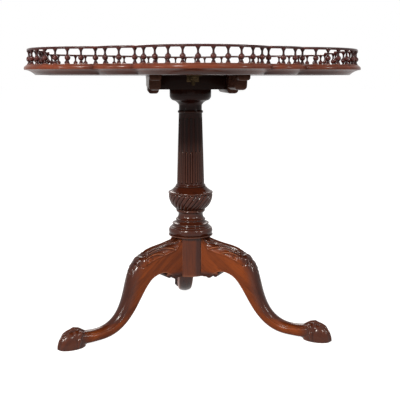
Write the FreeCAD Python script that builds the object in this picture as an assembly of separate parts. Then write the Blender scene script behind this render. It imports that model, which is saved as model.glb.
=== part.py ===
import FreeCAD, Part
import math
import os

from FreeCAD import Vector

# Tilt-top tea table. A lobed tray top with a moulded edge and a spindle gallery turns on
# a square pivot block, which is wedged on a fluted column with three cabriole legs.
# Millimetres. The origin is on the floor under the column's axis, +Z is up, the front
# is -Y, and the rear leg points along +Y.

# Heights
OVERALL_HEIGHT = 711.0
GALLERY_HEIGHT = 37.0
BOARD_THICKNESS = 23.0
BLOCK_THICKNESS = 34.0

# Plan of the top, measured on the line of the gallery spindles
LOBE_COUNT = 6
LOBE_CROWN_RADIUS = 418.0
LOBE_RADIUS = 162.0
SMALL_LOBE_SETBACK = 42.4
SMALL_LOBE_RADIUS = 95.0

# Moulded edge of the top, as distances outside the gallery line and heights
EDGE_FLAT = 7.0
EDGE_STEP = 1.5
NOSE_PROJECTION = 12.0
NOSE_DROP = 10.0
NOSE_FILLET = 1.0
NOSE_SWELL = 2.0
UNDER_INSET = 13.0
UNDER_HOLLOW = 2.6

# Gallery
LOBE_SPACES = 11
SMALL_SPACES = 3
RAIL_WIDTH = 8.5
RAIL_HEIGHT = 5.5
RAIL_SHOULDER = 3.2
SPINDLE_FOOT_RADIUS = 5.0
SPINDLE_FOOT_HEIGHT = 1.8
SPINDLE_WAIST_RADIUS = 2.5
SPINDLE_BULB_RADIUS = 6.3
SPINDLE_BULB_HEIGHT = 13.0
SPINDLE_NECK_RADIUS = 2.9
SPINDLE_TOP_RADIUS = 2.2
SPINDLE_CAP_RADIUS = 5.0
SPINDLE_CAP_HEIGHT = 1.0
SPINDLE_CAP_FLARE = 6.5
SPINDLE_CAP_HOLLOW = 0.7

# Pivot block, pins and bearers
BLOCK_WIDTH = 165.0
BEARER_WIDTH = 26.0
BEARER_LENGTH = 580.0
BEARER_TONGUE = 12.0
BEARER_TONGUE_LENGTH = 45.0
BEARER_DEPTH = 34.0
BEARER_BOSS_DEPTH = 44.0
BEARER_BOSS_LENGTH = 200.0
BEARER_ROUND = 8.0
PIN_RADIUS = 7.0
PIN_IN_BLOCK = 30.0
PIN_IN_BEARER = 20.0
PIN_END_GAP = 1.0

# Column, upward from the drum: radius at the upper end of each moulding, its height and
# how far it swells outward or is hollowed
DRUM_BOTTOM = 134.0
DRUM_RADIUS = 48.0
DRUM_HEIGHT = 103.5
PLINTH_RADIUS = 58.0
PLINTH_HEIGHT = 3.0
TORUS_RADIUS = 54.0
TORUS_HEIGHT = 18.5
TORUS_SWELL = 3.5
STEP_RADIUS = 51.0
STEP_HEIGHT = 3.0
COVE_RADIUS = 46.0
COVE_HEIGHT = 5.5
COVE_HOLLOW = 1.2
BEAD_HEIGHT = 4.0
BEAD_SWELL = 2.0
NECKING_RADIUS = 37.0
NECKING_HEIGHT = 6.5
NECKING_HOLLOW = 1.5
SCOTIA_RADIUS = 33.6
SCOTIA_HEIGHT = 17.5
SCOTIA_HOLLOW = 2.9
RING_RADIUS = 36.1
RING_HEIGHT = 5.0
RING_SWELL = 2.6
URN_SEAT_RADIUS = 38.2
URN_SEAT_HEIGHT = 2.0
URN_FOOT_RADIUS = 36.8
URN_RADIUS = 57.0
URN_HEIGHT = 42.5
URN_SWELL = 6.8
RIM_RADIUS = 58.0
RIM_HEIGHT = 2.0
LIP_RADIUS = 55.0
LIP_HEIGHT = 3.0
LIP_SWELL = 0.8
COLLAR_RADIUS = 40.5
COLLAR_HEIGHT = 12.0
COLLAR_HOLLOW = 1.1
SHAFT_BEAD_RADIUS = 37.4
SHAFT_BEAD_HEIGHT = 5.0
SHAFT_FLARE = 3.0
SHAFT_FOOT_RADIUS = 35.6
SHAFT_TOP_RADIUS = 30.3
NECK_RADIUS = 30.0
NECK_HEIGHT = 9.0
NECK_BEAD_HEIGHT = 7.5
NECK_BEAD_SWELL = 2.7
THROAT_RADIUS = 29.4
THROAT_HEIGHT = 13.2
CAVETTO_RADIUS = 46.0
CAVETTO_HEIGHT = 12.0
CAVETTO_HOLLOW = 2.3
OVOLO_HEIGHT = 12.5
OVOLO_SWELL = 2.0
CAP_RADIUS = 53.2
CAP_HEIGHT = 15.5
TENON_RADIUS = 22.0
TENON_SHORT = 0.7
WEDGE_THICKNESS = 5.0
WEDGE_TIP = 1.5
WEDGE_DEPTH = 24.0

# Carving of the column: gadroons that wind up the urn, flutes on the shaft and the reeds
# that fill the flutes up to a share of their length
GADROON_COUNT = 26
GADROON_DEPTH = 1.9
GADROON_TWIST = 32.0
GADROON_STATIONS = 8
FLUTE_COUNT = 16
FLUTE_RADIUS = 4.8
FLUTE_DEPTH = 3.0
FLUTE_MARGIN = 6.0
REED_RADIUS = 3.6
REED_SINK = 0.2
REED_SHARE = 0.47

# Legs
LEG_WIDTH = 48.0
LEG_TOP_DROP = 1.5
ANKLE_WIDTH = 38.0
ROOT_CROWN = 2.0
KNEE_CROWN = 24.0
KNEE_SWELL = 0.5
ANKLE_SWELL = 4.3
WRIST_SWELL = 2.0
ROOT_LOBE_RADIUS = 9.5
ROOT_LOBE_DROP = 3.0
ROOT_LOBE_OUT = 21.0
ROOT_CURL_RADIUS = 7.0
ROOT_CURL_RISE = 1.5
ROOT_CURL_OUT = 39.0
ROOT_CURL_INSET = 1.0
TONGUE_DEPTH = 19.0
TONGUE_NECK = 16.0
TONGUE_TAIL = 22.0
TONGUE_TOP_DROP = 15.0
BALL_CENTRE_RADIUS = 348.0
BALL_CENTRE_HEIGHT = 5.0
BALL_LENGTH = 70.0
BALL_WIDTH = 44.0
BALL_HEIGHT = 74.0
TOE_RADIUS = 5.5

# Brass catch under the front of the top
CATCH_PLATE_WIDTH = 34.0
CATCH_PLATE_LENGTH = 48.0
CATCH_PLATE_THICKNESS = 1.5
CATCH_CASE_WIDTH = 18.0
CATCH_CASE_LENGTH = 32.0
CATCH_WALL = 3.0
BOLT_WIDTH = 10.0
BOLT_HEIGHT = 6.0
BOLT_TAIL = 3.0
BOLT_STANDOFF = 2.8
LEVER_WIDTH = 9.0
LEVER_DROP = 17.0
LEVER_THICKNESS = 4.0
LEVER_SETBACK = 8.5
STRIKE_WIDTH = 30.0
STRIKE_HEIGHT = 15.0
STRIKE_THICKNESS = 1.2
STRIKE_SLOT_DEPTH = 8.0

# Clearances
TOP_GAP = 0.3
BEARER_GAP = 1.0
PIN_RUNNING = 0.06
PRESS_GAP = 0.02
JOINT_GAP = 0.1
BOLT_GAP = 0.1
SLOT_GAP = 0.4
LEVER_GAP = 1.0

# Heights and places worked out from the sizes above
BOARD_TOP = OVERALL_HEIGHT - GALLERY_HEIGHT
BOARD_BOTTOM = BOARD_TOP - BOARD_THICKNESS
BLOCK_TOP = BOARD_BOTTOM - TOP_GAP
BLOCK_BOTTOM = BLOCK_TOP - BLOCK_THICKNESS
PIVOT_DROP = BLOCK_THICKNESS / 2
PIVOT_HEIGHT = BLOCK_TOP - PIVOT_DROP
PIVOT_Y = BLOCK_WIDTH / 2 - PIVOT_DROP
BLOCK_FRONT = -BLOCK_WIDTH / 2
BEARER_INNER = BLOCK_WIDTH / 2 + BEARER_GAP
DRUM_TOP = DRUM_BOTTOM + DRUM_HEIGHT
BASE_HEIGHT = PLINTH_HEIGHT + TORUS_HEIGHT + STEP_HEIGHT + COVE_HEIGHT + NECKING_HEIGHT + 2 * BEAD_HEIGHT
URN_FOOT = DRUM_TOP + BASE_HEIGHT + SCOTIA_HEIGHT + RING_HEIGHT + URN_SEAT_HEIGHT
URN_TOP = URN_FOOT + URN_HEIGHT
SHAFT_FOOT = URN_TOP + RIM_HEIGHT + LIP_HEIGHT + COLLAR_HEIGHT + SHAFT_BEAD_HEIGHT + SHAFT_FLARE
CAPITAL_HEIGHT = NECK_HEIGHT + NECK_BEAD_HEIGHT + THROAT_HEIGHT + CAVETTO_HEIGHT + OVOLO_HEIGHT + CAP_HEIGHT
SHAFT_TOP = BLOCK_BOTTOM - CAPITAL_HEIGHT
SHAFT_LENGTH = SHAFT_TOP - SHAFT_FOOT
TENON_TOP = BLOCK_TOP - TENON_SHORT
LEG_JOINT = math.sqrt(DRUM_RADIUS ** 2 - (LEG_WIDTH / 2) ** 2)
LEG_TOP = DRUM_TOP - LEG_TOP_DROP
LEG_REACH = BALL_CENTRE_RADIUS - LEG_JOINT
CATCH_PLATE_BOTTOM = BOARD_BOTTOM - CATCH_PLATE_THICKNESS
BOLT_MIDDLE = CATCH_PLATE_BOTTOM - BOLT_GAP - BOLT_HEIGHT / 2
BOLT_NOSE = BLOCK_FRONT - STRIKE_THICKNESS - BOLT_STANDOFF
LEVER_BACK = BOLT_NOSE - LEVER_SETBACK
CASE_BACK = LEVER_BACK - LEVER_THICKNESS - LEVER_GAP
CASE_FRONT = CASE_BACK - CATCH_CASE_LENGTH

Z_AXIS = Vector(0, 0, 1)
ORIGIN = Vector(0, 0, 0)
LOBE_STEP = 360.0 / LOBE_COUNT
LOBE_CENTRE = LOBE_CROWN_RADIUS - LOBE_RADIUS
SMALL_CENTRE = LOBE_CROWN_RADIUS - SMALL_LOBE_SETBACK - SMALL_LOBE_RADIUS
FRONT = -90.0
REACH = 1000.0
DIAGONAL = math.sqrt(0.5)

# Side view of a leg from the drum to the foot. Each row is one section: radius and height
# of its crest, then of its underside, as shares of the leg's reach and of its height.
LEG_STATIONS = [
    (0.067, 0.974, 0.072, 0.576),
    (0.157, 0.943, 0.157, 0.636),
    (0.267, 0.913, 0.229, 0.638),
    (0.371, 0.850, 0.306, 0.589),
    (0.456, 0.744, 0.378, 0.468),
    (0.501, 0.585, 0.442, 0.325),
    (0.546, 0.394, 0.511, 0.195),
    (0.618, 0.244, 0.598, 0.091),
    (0.715, 0.165, 0.702, 0.032),
    (0.812, 0.146, 0.805, 0.018),
    (0.897, 0.157, 0.890, 0.017),
    (0.968, 0.178, 0.961, 0.034),
]
CROWN_STATION = 1.0
KNEE_STATION = 4.0
ANKLE_STATION = 10.0
LEG_TURNS = {"leg_rear": 90.0, "leg_front_left": 210.0, "leg_front_right": 330.0}

# Toes as stations from the ankle to the claw: place outward, across and upward from the
# ball's centre in shares of its half length, width and height, then thickness
FRONT_TOE = [
    (-0.943, 0.0, 0.554, 1.9),
    (-0.629, 0.0, 0.822, 1.5),
    (-0.343, 0.0, 1.008, 1.25),
    (-0.029, 0.0, 1.032, 1.07),
    (0.349, 0.0, 0.941, 0.95),
    (0.657, 0.0, 0.714, 0.9),
    (0.854, 0.0, 0.435, 0.83),
    (0.977, 0.0, 0.122, 0.72),
    (1.051, 0.0, -0.092, 0.35),
]
SIDE_TOE = [
    (-0.943, 0.25, 0.473, 1.5),
    (-0.686, 0.41, 0.676, 1.3),
    (-0.471, 0.614, 0.784, 1.12),
    (-0.343, 0.827, 0.568, 0.95),
    (-0.257, 0.955, 0.27, 0.8),
    (-0.2, 0.991, 0.027, 0.65),
    (-0.171, 0.982, -0.103, 0.3),
]
HEEL_TOE = [
    (-1.243, 0.0, 0.351, 1.6),
    (-1.143, 0.0, 0.122, 1.1),
    (-1.057, 0.0, -0.027, 0.65),
    (-1.014, 0.0, -0.108, 0.3),
]


def line(start, end):
    """Straight edge between two points."""
    return Part.makeLine(start, end)


def arc(start, middle, end):
    """Circular edge through three points."""
    return Part.Arc(start, middle, end).toShape()


def bowed(start, end, swell):
    """Edge in the XZ plane whose middle stands off its chord, to the right as it runs, by a distance."""
    chord = end - start
    side = Vector(chord.z, 0, -chord.x)
    side.normalize()
    return arc(start, (start + end) / 2 + side * swell, end)


def solid_of_revolution(edges, sweep=360.0):
    """Turn a closed outline in the XZ plane about the Z axis."""
    face = Part.Face(Part.Wire(edges))
    return face.revolve(ORIGIN, Z_AXIS, sweep)


def prism(points, along):
    """Extrude a closed polygon."""
    outline = Part.makePolygon(points + [points[0]])
    return Part.Face(outline).extrude(along)


def box(low, high):
    """Box between two corners."""
    size = high - low
    return Part.makeBox(size.x, size.y, size.z, low)


def turned(shape, degrees):
    """Copy of a shape, turned about the table's axis."""
    copy = shape.copy()
    copy.rotate(ORIGIN, Z_AXIS, degrees)
    return copy


def mirrored(shape):
    """Copy of a shape, mirrored from right to left."""
    return shape.mirror(ORIGIN, Vector(1, 0, 0))


def polar(radius, degrees):
    """Point on the floor at a radius and an angle about the table's axis."""
    turn = math.radians(degrees)
    return Vector(radius * math.cos(turn), radius * math.sin(turn), 0)


def blend(start, end, share):
    """Smooth change from one value to another as a share grows from 0 to 1."""
    share = min(max(share, 0.0), 1.0)
    return start + (end - start) * share * share * (3.0 - 2.0 * share)


def save(node, shape):
    """Write one piece."""
    shape.exportStep(os.path.join("parts", node + ".step"))


class Turning:
    """Outline of a turned piece in the XZ plane, stacked upward from its foot."""

    def __init__(self, foot):
        self.start = Vector(0, 0, foot)
        self.here = self.start
        self.edges = []

    def to(self, radius, rise=0.0, swell=0.0):
        """Add a moulding: its upper radius, its height and its swell, which is negative for a hollow."""
        end = Vector(radius, 0, self.here.z + rise)
        if swell == 0.0:
            self.edges.append(line(self.here, end))
        else:
            self.edges.append(bowed(self.here, end, swell))
        self.here = end

    def solid(self):
        """Close the outline along the axis and turn it."""
        self.to(0.0)
        self.edges.append(line(self.here, self.start))
        return solid_of_revolution(self.edges)


# Plan of the top

def cusp(offset=0.0):
    """Where a large lobe on +X meets the small lobe to its left, outside the gallery line by an offset."""
    first = Vector(LOBE_CENTRE, 0, 0)
    second = polar(SMALL_CENTRE, LOBE_STEP / 2)
    across = second - first
    gap = across.Length
    big = LOBE_RADIUS + offset
    small = SMALL_LOBE_RADIUS + offset
    along = (big ** 2 - small ** 2 + gap ** 2) / (2 * gap)
    out = math.sqrt(big ** 2 - along ** 2)
    unit = across / gap
    return first + unit * along + Vector(unit.y, -unit.x, 0) * out


def lobe_half_turn():
    """Half the arc of a large lobe, in degrees about its own centre."""
    end = cusp() - Vector(LOBE_CENTRE, 0, 0)
    return math.degrees(math.atan2(end.y, end.x))


def small_half_turn():
    """Half the arc of a small lobe, in degrees about its own centre."""
    end = cusp() - polar(SMALL_CENTRE, LOBE_STEP / 2)
    return LOBE_STEP / 2 - math.degrees(math.atan2(end.y, end.x))


def lobe_disc(radius):
    """One lobe of the top, turned about its own centre with the moulded edge."""
    disc = Turning(BOARD_BOTTOM)
    disc.to(radius - UNDER_INSET)
    disc.to(radius + NOSE_PROJECTION, BOARD_THICKNESS - NOSE_DROP - NOSE_FILLET, -UNDER_HOLLOW)
    disc.to(radius + NOSE_PROJECTION, NOSE_FILLET)
    disc.to(radius + EDGE_FLAT, NOSE_DROP - EDGE_STEP, NOSE_SWELL)
    disc.to(radius + EDGE_FLAT, EDGE_STEP)
    return disc.solid()


def make_top_board():
    """The lobes joined round a plain middle; their mouldings meet in mitres at the cusps."""
    middle = Part.makeCylinder(SMALL_CENTRE, BOARD_THICKNESS, Vector(0, 0, BOARD_BOTTOM))
    large = lobe_disc(LOBE_RADIUS)
    small = lobe_disc(SMALL_LOBE_RADIUS)
    lobes = []
    for i in range(LOBE_COUNT):
        turn = FRONT + i * LOBE_STEP
        lobes.append(large.translated(polar(LOBE_CENTRE, turn)))
        lobes.append(small.translated(polar(SMALL_CENTRE, turn + LOBE_STEP / 2)))
    return middle.multiFuse(lobes).removeSplitter()


# Gallery

def rail_arc(radius, centre, middle_turn, half_turn):
    """Domed rail along part of a lobe's arc."""
    bottom = OVERALL_HEIGHT - RAIL_HEIGHT
    shoulder = bottom + RAIL_SHOULDER
    inner = radius - RAIL_WIDTH / 2
    outer = radius + RAIL_WIDTH / 2
    edges = [
        line(Vector(inner, 0, bottom), Vector(outer, 0, bottom)),
        line(Vector(outer, 0, bottom), Vector(outer, 0, shoulder)),
        arc(Vector(outer, 0, shoulder), Vector(radius, 0, OVERALL_HEIGHT), Vector(inner, 0, shoulder)),
        line(Vector(inner, 0, shoulder), Vector(inner, 0, bottom)),
    ]
    rail = solid_of_revolution(edges, 2 * half_turn)
    rail.rotate(ORIGIN, Z_AXIS, middle_turn - half_turn)
    return rail.translated(centre)


def past_mitre():
    """Everything beyond the mitre between the large lobe on +X and the small lobe to its left."""
    inner = cusp(-RAIL_WIDTH / 2)
    outer = cusp(RAIL_WIDTH / 2)
    along = outer - inner
    along.normalize()
    away = Vector(-along.y, along.x, 0)
    near = inner - along * REACH
    far = inner + along * REACH
    return prism([near, far, far + away * REACH, near + away * REACH], Z_AXIS * OVERALL_HEIGHT * 2)


def make_rails():
    """The rail of one large lobe and of the small lobe to its left, with mitred ends."""
    beyond = past_mitre()
    before = beyond.mirror(ORIGIN, Vector(0, 1, 0))
    turn = LOBE_STEP / 2
    large_spare = math.degrees(RAIL_WIDTH / LOBE_RADIUS)
    small_spare = 2 * math.degrees(RAIL_WIDTH / SMALL_LOBE_RADIUS)
    large = rail_arc(LOBE_RADIUS, Vector(LOBE_CENTRE, 0, 0), 0.0, lobe_half_turn() + large_spare)
    large = large.cut(beyond).cut(before)
    small = rail_arc(SMALL_LOBE_RADIUS, polar(SMALL_CENTRE, turn), turn, small_half_turn() + small_spare)
    small = small.common(beyond).common(turned(before, LOBE_STEP))
    return large, small


def make_spindle():
    """Turned spindle standing on the board: foot, waist, round bulb, neck and flared cap."""
    height = GALLERY_HEIGHT - RAIL_HEIGHT
    below = math.sqrt(SPINDLE_BULB_RADIUS ** 2 - SPINDLE_WAIST_RADIUS ** 2)
    above = math.sqrt(SPINDLE_BULB_RADIUS ** 2 - SPINDLE_NECK_RADIUS ** 2)
    waist = Vector(SPINDLE_WAIST_RADIUS, 0, BOARD_TOP + SPINDLE_BULB_HEIGHT - below)
    bulb = Vector(SPINDLE_BULB_RADIUS, 0, BOARD_TOP + SPINDLE_BULB_HEIGHT)
    neck = Vector(SPINDLE_NECK_RADIUS, 0, BOARD_TOP + SPINDLE_BULB_HEIGHT + above)
    spindle = Turning(BOARD_TOP)
    spindle.to(SPINDLE_FOOT_RADIUS)
    spindle.to(SPINDLE_FOOT_RADIUS, SPINDLE_FOOT_HEIGHT)
    spindle.to(waist.x, waist.z - spindle.here.z)
    spindle.edges.append(arc(waist, bulb, neck))
    spindle.here = neck
    cap = BOARD_TOP + height - SPINDLE_CAP_HEIGHT
    spindle.to(SPINDLE_TOP_RADIUS, cap - SPINDLE_CAP_FLARE - neck.z)
    spindle.to(SPINDLE_CAP_RADIUS, SPINDLE_CAP_FLARE, -SPINDLE_CAP_HOLLOW)
    spindle.to(SPINDLE_CAP_RADIUS, SPINDLE_CAP_HEIGHT)
    return spindle.solid()


def make_spindle_groups():
    """Spindles of a large lobe, both cusps included, and of the small lobe to its left."""
    spindle = make_spindle()
    large = []
    half = lobe_half_turn()
    for i in range(LOBE_SPACES + 1):
        turn = half * (2.0 * i / LOBE_SPACES - 1.0)
        large.append(spindle.translated(Vector(LOBE_CENTRE, 0, 0) + polar(LOBE_RADIUS, turn)))
    small = []
    half = small_half_turn()
    middle = LOBE_STEP / 2
    for i in range(1, SMALL_SPACES):
        turn = middle + half * (2.0 * i / SMALL_SPACES - 1.0)
        small.append(spindle.translated(polar(SMALL_CENTRE, middle) + polar(SMALL_LOBE_RADIUS, turn)))
    return Part.makeCompound(large), Part.makeCompound(small)


# Pivot block, bearers and pins

def bearer_bar(length, depth, end_round):
    """Bar under the top beside the block, with rounded ends and rounded lower edges."""
    half = length / 2
    edge = min(BEARER_ROUND, depth / 2)
    outer = BEARER_INNER + BEARER_WIDTH
    end_rise = end_round * (1.0 - DIAGONAL)
    edge_rise = edge * (1.0 - DIAGONAL)

    def side(y, depth_there):
        return Vector(BEARER_INNER, y, BOARD_BOTTOM - depth_there)

    def section(x, depth_there):
        return Vector(x, -half, BOARD_BOTTOM - depth_there)

    side_view = [
        line(side(half, 0), side(-half, 0)),
        line(side(-half, 0), side(-half, depth - end_round)),
        arc(
            side(-half, depth - end_round),
            side(end_rise - half, depth - end_rise),
            side(end_round - half, depth),
        ),
        line(side(end_round - half, depth), side(half - end_round, depth)),
        arc(
            side(half - end_round, depth),
            side(half - end_rise, depth - end_rise),
            side(half, depth - end_round),
        ),
        line(side(half, depth - end_round), side(half, 0)),
    ]
    end_view = [
        line(section(outer, 0), section(BEARER_INNER, 0)),
        line(section(BEARER_INNER, 0), section(BEARER_INNER, depth - edge)),
        arc(
            section(BEARER_INNER, depth - edge),
            section(BEARER_INNER + edge_rise, depth - edge_rise),
            section(BEARER_INNER + edge, depth),
        ),
        line(section(BEARER_INNER + edge, depth), section(outer - edge, depth)),
        arc(
            section(outer - edge, depth),
            section(outer - edge_rise, depth - edge_rise),
            section(outer, depth - edge),
        ),
        line(section(outer, depth - edge), section(outer, 0)),
    ]
    along = Part.Face(Part.Wire(side_view)).extrude(Vector(BEARER_WIDTH, 0, 0))
    across = Part.Face(Part.Wire(end_view)).extrude(Vector(0, length, 0))
    return along.common(across)


def make_bearer():
    """Right bearer under the top: thin tongues, rounded steps and a boss beside the block."""
    step = BEARER_DEPTH - BEARER_TONGUE
    boss_step = BEARER_BOSS_DEPTH - BEARER_DEPTH
    tongues = bearer_bar(BEARER_LENGTH, BEARER_TONGUE, BEARER_TONGUE / 2)
    body = bearer_bar(BEARER_LENGTH - 2 * BEARER_TONGUE_LENGTH, BEARER_DEPTH, step)
    boss = bearer_bar(BEARER_BOSS_LENGTH, BEARER_BOSS_DEPTH, boss_step)
    bore_depth = PIN_IN_BEARER + PIN_END_GAP
    bore = Part.makeCylinder(
        PIN_RADIUS + PIN_RUNNING, bore_depth, Vector(BEARER_INNER, PIVOT_Y, PIVOT_HEIGHT), Vector(1, 0, 0)
    )
    return body.multiFuse([tongues, boss]).cut(bore).removeSplitter()


def pin_start():
    """Inner end of the right pivot pin, at the bottom of its bore in the block."""
    return Vector(BLOCK_WIDTH / 2 - PIN_IN_BLOCK, PIVOT_Y, PIVOT_HEIGHT)


def make_pin():
    """Right pivot pin, glued in the block and turning in the bearer."""
    length = PIN_IN_BLOCK + BEARER_GAP + PIN_IN_BEARER
    return Part.makeCylinder(PIN_RADIUS, length, pin_start(), Vector(1, 0, 0))


def make_block():
    """Square block with its upper rear edge rounded about the pivot, a mortise and the bolt's slot."""
    half = BLOCK_WIDTH / 2
    diagonal = DIAGONAL * PIVOT_DROP

    def at(y, z):
        return Vector(-half, y, z)

    edges = [
        line(at(BLOCK_FRONT, BLOCK_BOTTOM), at(half, BLOCK_BOTTOM)),
        line(at(half, BLOCK_BOTTOM), at(half, PIVOT_HEIGHT)),
        arc(
            at(half, PIVOT_HEIGHT),
            at(PIVOT_Y + diagonal, PIVOT_HEIGHT + diagonal),
            at(PIVOT_Y, BLOCK_TOP),
        ),
        line(at(PIVOT_Y, BLOCK_TOP), at(BLOCK_FRONT, BLOCK_TOP)),
        line(at(BLOCK_FRONT, BLOCK_TOP), at(BLOCK_FRONT, BLOCK_BOTTOM)),
    ]
    block = Part.Face(Part.Wire(edges)).extrude(Vector(BLOCK_WIDTH, 0, 0))
    mortise = Part.makeCylinder(TENON_RADIUS + PRESS_GAP, BLOCK_THICKNESS, Vector(0, 0, BLOCK_BOTTOM))
    bore = Part.makeCylinder(PIN_RADIUS + PRESS_GAP, PIN_IN_BLOCK, pin_start(), Vector(1, 0, 0))
    slot = bolt_passage(BLOCK_FRONT, BLOCK_FRONT + STRIKE_SLOT_DEPTH)
    return block.cut(mortise).cut(bore).cut(mirrored(bore)).cut(slot)


# Column

def wedge_blank():
    """Tapered wedge across the column's tenon, before it is trimmed to the tenon's round."""
    half = WEDGE_THICKNESS / 2
    tip = WEDGE_TIP / 2
    outline = [
        Vector(-REACH / 2, -half, TENON_TOP),
        Vector(-REACH / 2, half, TENON_TOP),
        Vector(-REACH / 2, tip, TENON_TOP - WEDGE_DEPTH),
        Vector(-REACH / 2, -tip, TENON_TOP - WEDGE_DEPTH),
    ]
    return prism(outline, Vector(REACH, 0, 0))


def make_wedge():
    """Wedge that spreads the tenon in the block."""
    round_of_tenon = Part.makeCylinder(TENON_RADIUS, BLOCK_THICKNESS, Vector(0, 0, BLOCK_BOTTOM))
    return round_of_tenon.common(wedge_blank())


def turned_column():
    """Column as it leaves the lathe, with a plain core where the urn is carved."""
    column = Turning(DRUM_BOTTOM)
    column.to(DRUM_RADIUS)
    column.to(DRUM_RADIUS, DRUM_HEIGHT)
    column.to(PLINTH_RADIUS)
    column.to(PLINTH_RADIUS, PLINTH_HEIGHT)
    column.to(TORUS_RADIUS)
    column.to(TORUS_RADIUS, TORUS_HEIGHT, TORUS_SWELL)
    column.to(STEP_RADIUS)
    column.to(STEP_RADIUS, STEP_HEIGHT)
    column.to(COVE_RADIUS, COVE_HEIGHT, -COVE_HOLLOW)
    column.to(COVE_RADIUS, BEAD_HEIGHT, BEAD_SWELL)
    column.to(NECKING_RADIUS, NECKING_HEIGHT, -NECKING_HOLLOW)
    column.to(NECKING_RADIUS, BEAD_HEIGHT, BEAD_SWELL)
    column.to(SCOTIA_RADIUS, SCOTIA_HEIGHT, -SCOTIA_HOLLOW)
    column.to(RING_RADIUS, RING_HEIGHT, RING_SWELL)
    column.to(URN_SEAT_RADIUS)
    column.to(URN_SEAT_RADIUS, URN_SEAT_HEIGHT)
    column.to(SCOTIA_RADIUS)
    column.to(SCOTIA_RADIUS, URN_HEIGHT)
    column.to(RIM_RADIUS)
    column.to(RIM_RADIUS, RIM_HEIGHT)
    column.to(LIP_RADIUS, LIP_HEIGHT, LIP_SWELL)
    column.to(COLLAR_RADIUS, COLLAR_HEIGHT, -COLLAR_HOLLOW)
    column.to(SHAFT_BEAD_RADIUS)
    column.to(SHAFT_BEAD_RADIUS, SHAFT_BEAD_HEIGHT, BEAD_SWELL)
    column.to(SHAFT_FOOT_RADIUS, SHAFT_FLARE)
    column.to(SHAFT_TOP_RADIUS, SHAFT_LENGTH)
    column.to(NECK_RADIUS, NECK_HEIGHT)
    column.to(NECK_RADIUS, NECK_BEAD_HEIGHT, NECK_BEAD_SWELL)
    column.to(THROAT_RADIUS)
    column.to(THROAT_RADIUS, THROAT_HEIGHT)
    column.to(CAVETTO_RADIUS, CAVETTO_HEIGHT, -CAVETTO_HOLLOW)
    column.to(CAP_RADIUS, OVOLO_HEIGHT, OVOLO_SWELL)
    column.to(CAP_RADIUS, CAP_HEIGHT)
    column.to(TENON_RADIUS)
    column.to(TENON_RADIUS, TENON_TOP - BLOCK_BOTTOM)
    return column.solid()


def gadroon_ring(radius, z, twist):
    """Scalloped outline of the urn at one height."""
    step = 360.0 / GADROON_COUNT
    groove = radius - GADROON_DEPTH * radius / URN_RADIUS
    lift = Vector(0, 0, z)
    edges = []
    for i in range(GADROON_COUNT):
        turn = twist + i * step
        crest = lift + polar(radius, turn + step / 2)
        edges.append(arc(lift + polar(groove, turn), crest, lift + polar(groove, turn + step)))
    return Part.Wire(edges)


def carved_urn():
    """Urn with gadroons that wind round it as they rise."""
    profile = bowed(Vector(URN_FOOT_RADIUS, 0, URN_FOOT), Vector(URN_RADIUS, 0, URN_TOP), URN_SWELL)
    rings = []
    for point in profile.discretize(GADROON_STATIONS):
        twist = GADROON_TWIST * (point.z - URN_FOOT) / URN_HEIGHT
        rings.append(gadroon_ring(point.x, point.z, twist))
    return Part.makeLoft(rings, True)


def shaft_radius(z):
    """Radius of the tapered shaft at a height."""
    share = (z - SHAFT_FOOT) / SHAFT_LENGTH
    return SHAFT_FOOT_RADIUS + (SHAFT_TOP_RADIUS - SHAFT_FOOT_RADIUS) * share


def round_ended_rod(radius, out, bottom, top):
    """Rod that follows the shaft's taper on +X, with its axis outside the surface by a distance."""
    low = Vector(shaft_radius(bottom) + out, 0, bottom)
    high = Vector(shaft_radius(top) + out, 0, top)
    rod = Part.makeCylinder(radius, (high - low).Length, low, high - low)
    return rod.multiFuse([Part.makeSphere(radius, low), Part.makeSphere(radius, high)])


def add_flutes(column):
    """Flutes round the shaft, filled with reeds in their lower part."""
    bottom = SHAFT_FOOT + FLUTE_MARGIN
    top = SHAFT_TOP - FLUTE_MARGIN
    reed_top = SHAFT_FOOT + REED_SHARE * SHAFT_LENGTH
    flute = round_ended_rod(FLUTE_RADIUS, FLUTE_RADIUS - FLUTE_DEPTH, bottom, top)
    reed = round_ended_rod(REED_RADIUS, -REED_RADIUS - REED_SINK, bottom, reed_top)
    step = 360.0 / FLUTE_COUNT
    flutes = [turned(flute, i * step) for i in range(FLUTE_COUNT)]
    reeds = [turned(reed, i * step) for i in range(FLUTE_COUNT)]
    return column.cut(Part.makeCompound(flutes)).multiFuse(reeds)


def tongue(grow, bottom, top):
    """Dovetail on the inner end of a leg that points along +X, or its socket when grown by a clearance."""
    neck = TONGUE_NECK / 2 + grow
    tail = TONGUE_TAIL / 2 + grow
    inner = LEG_JOINT - TONGUE_DEPTH - grow
    outline = [
        Vector(LEG_JOINT, -neck, bottom),
        Vector(LEG_JOINT, neck, bottom),
        Vector(inner, tail, bottom),
        Vector(inner, -tail, bottom),
    ]
    return prism(outline, Vector(0, 0, top - bottom))


def make_column():
    """Fluted column with a carved urn, a drum with three seats for the legs, and a wedged tenon."""
    column = add_flutes(turned_column().fuse(carved_urn()))
    half = LEG_WIDTH / 2
    below = DRUM_BOTTOM - REACH
    open_foot = box(Vector(LEG_JOINT, -half, below), Vector(REACH, half, DRUM_BOTTOM + half))
    seat = Part.Face(leg_section_at(0)).extrude(Vector(REACH, 0, 0)).fuse(open_foot)
    socket = tongue(JOINT_GAP, below, LEG_TOP - TONGUE_TOP_DROP + JOINT_GAP)
    for turn in LEG_TURNS.values():
        column = column.cut(turned(seat, turn)).cut(turned(socket, turn))
    return column.cut(wedge_blank())


# Legs

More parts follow.
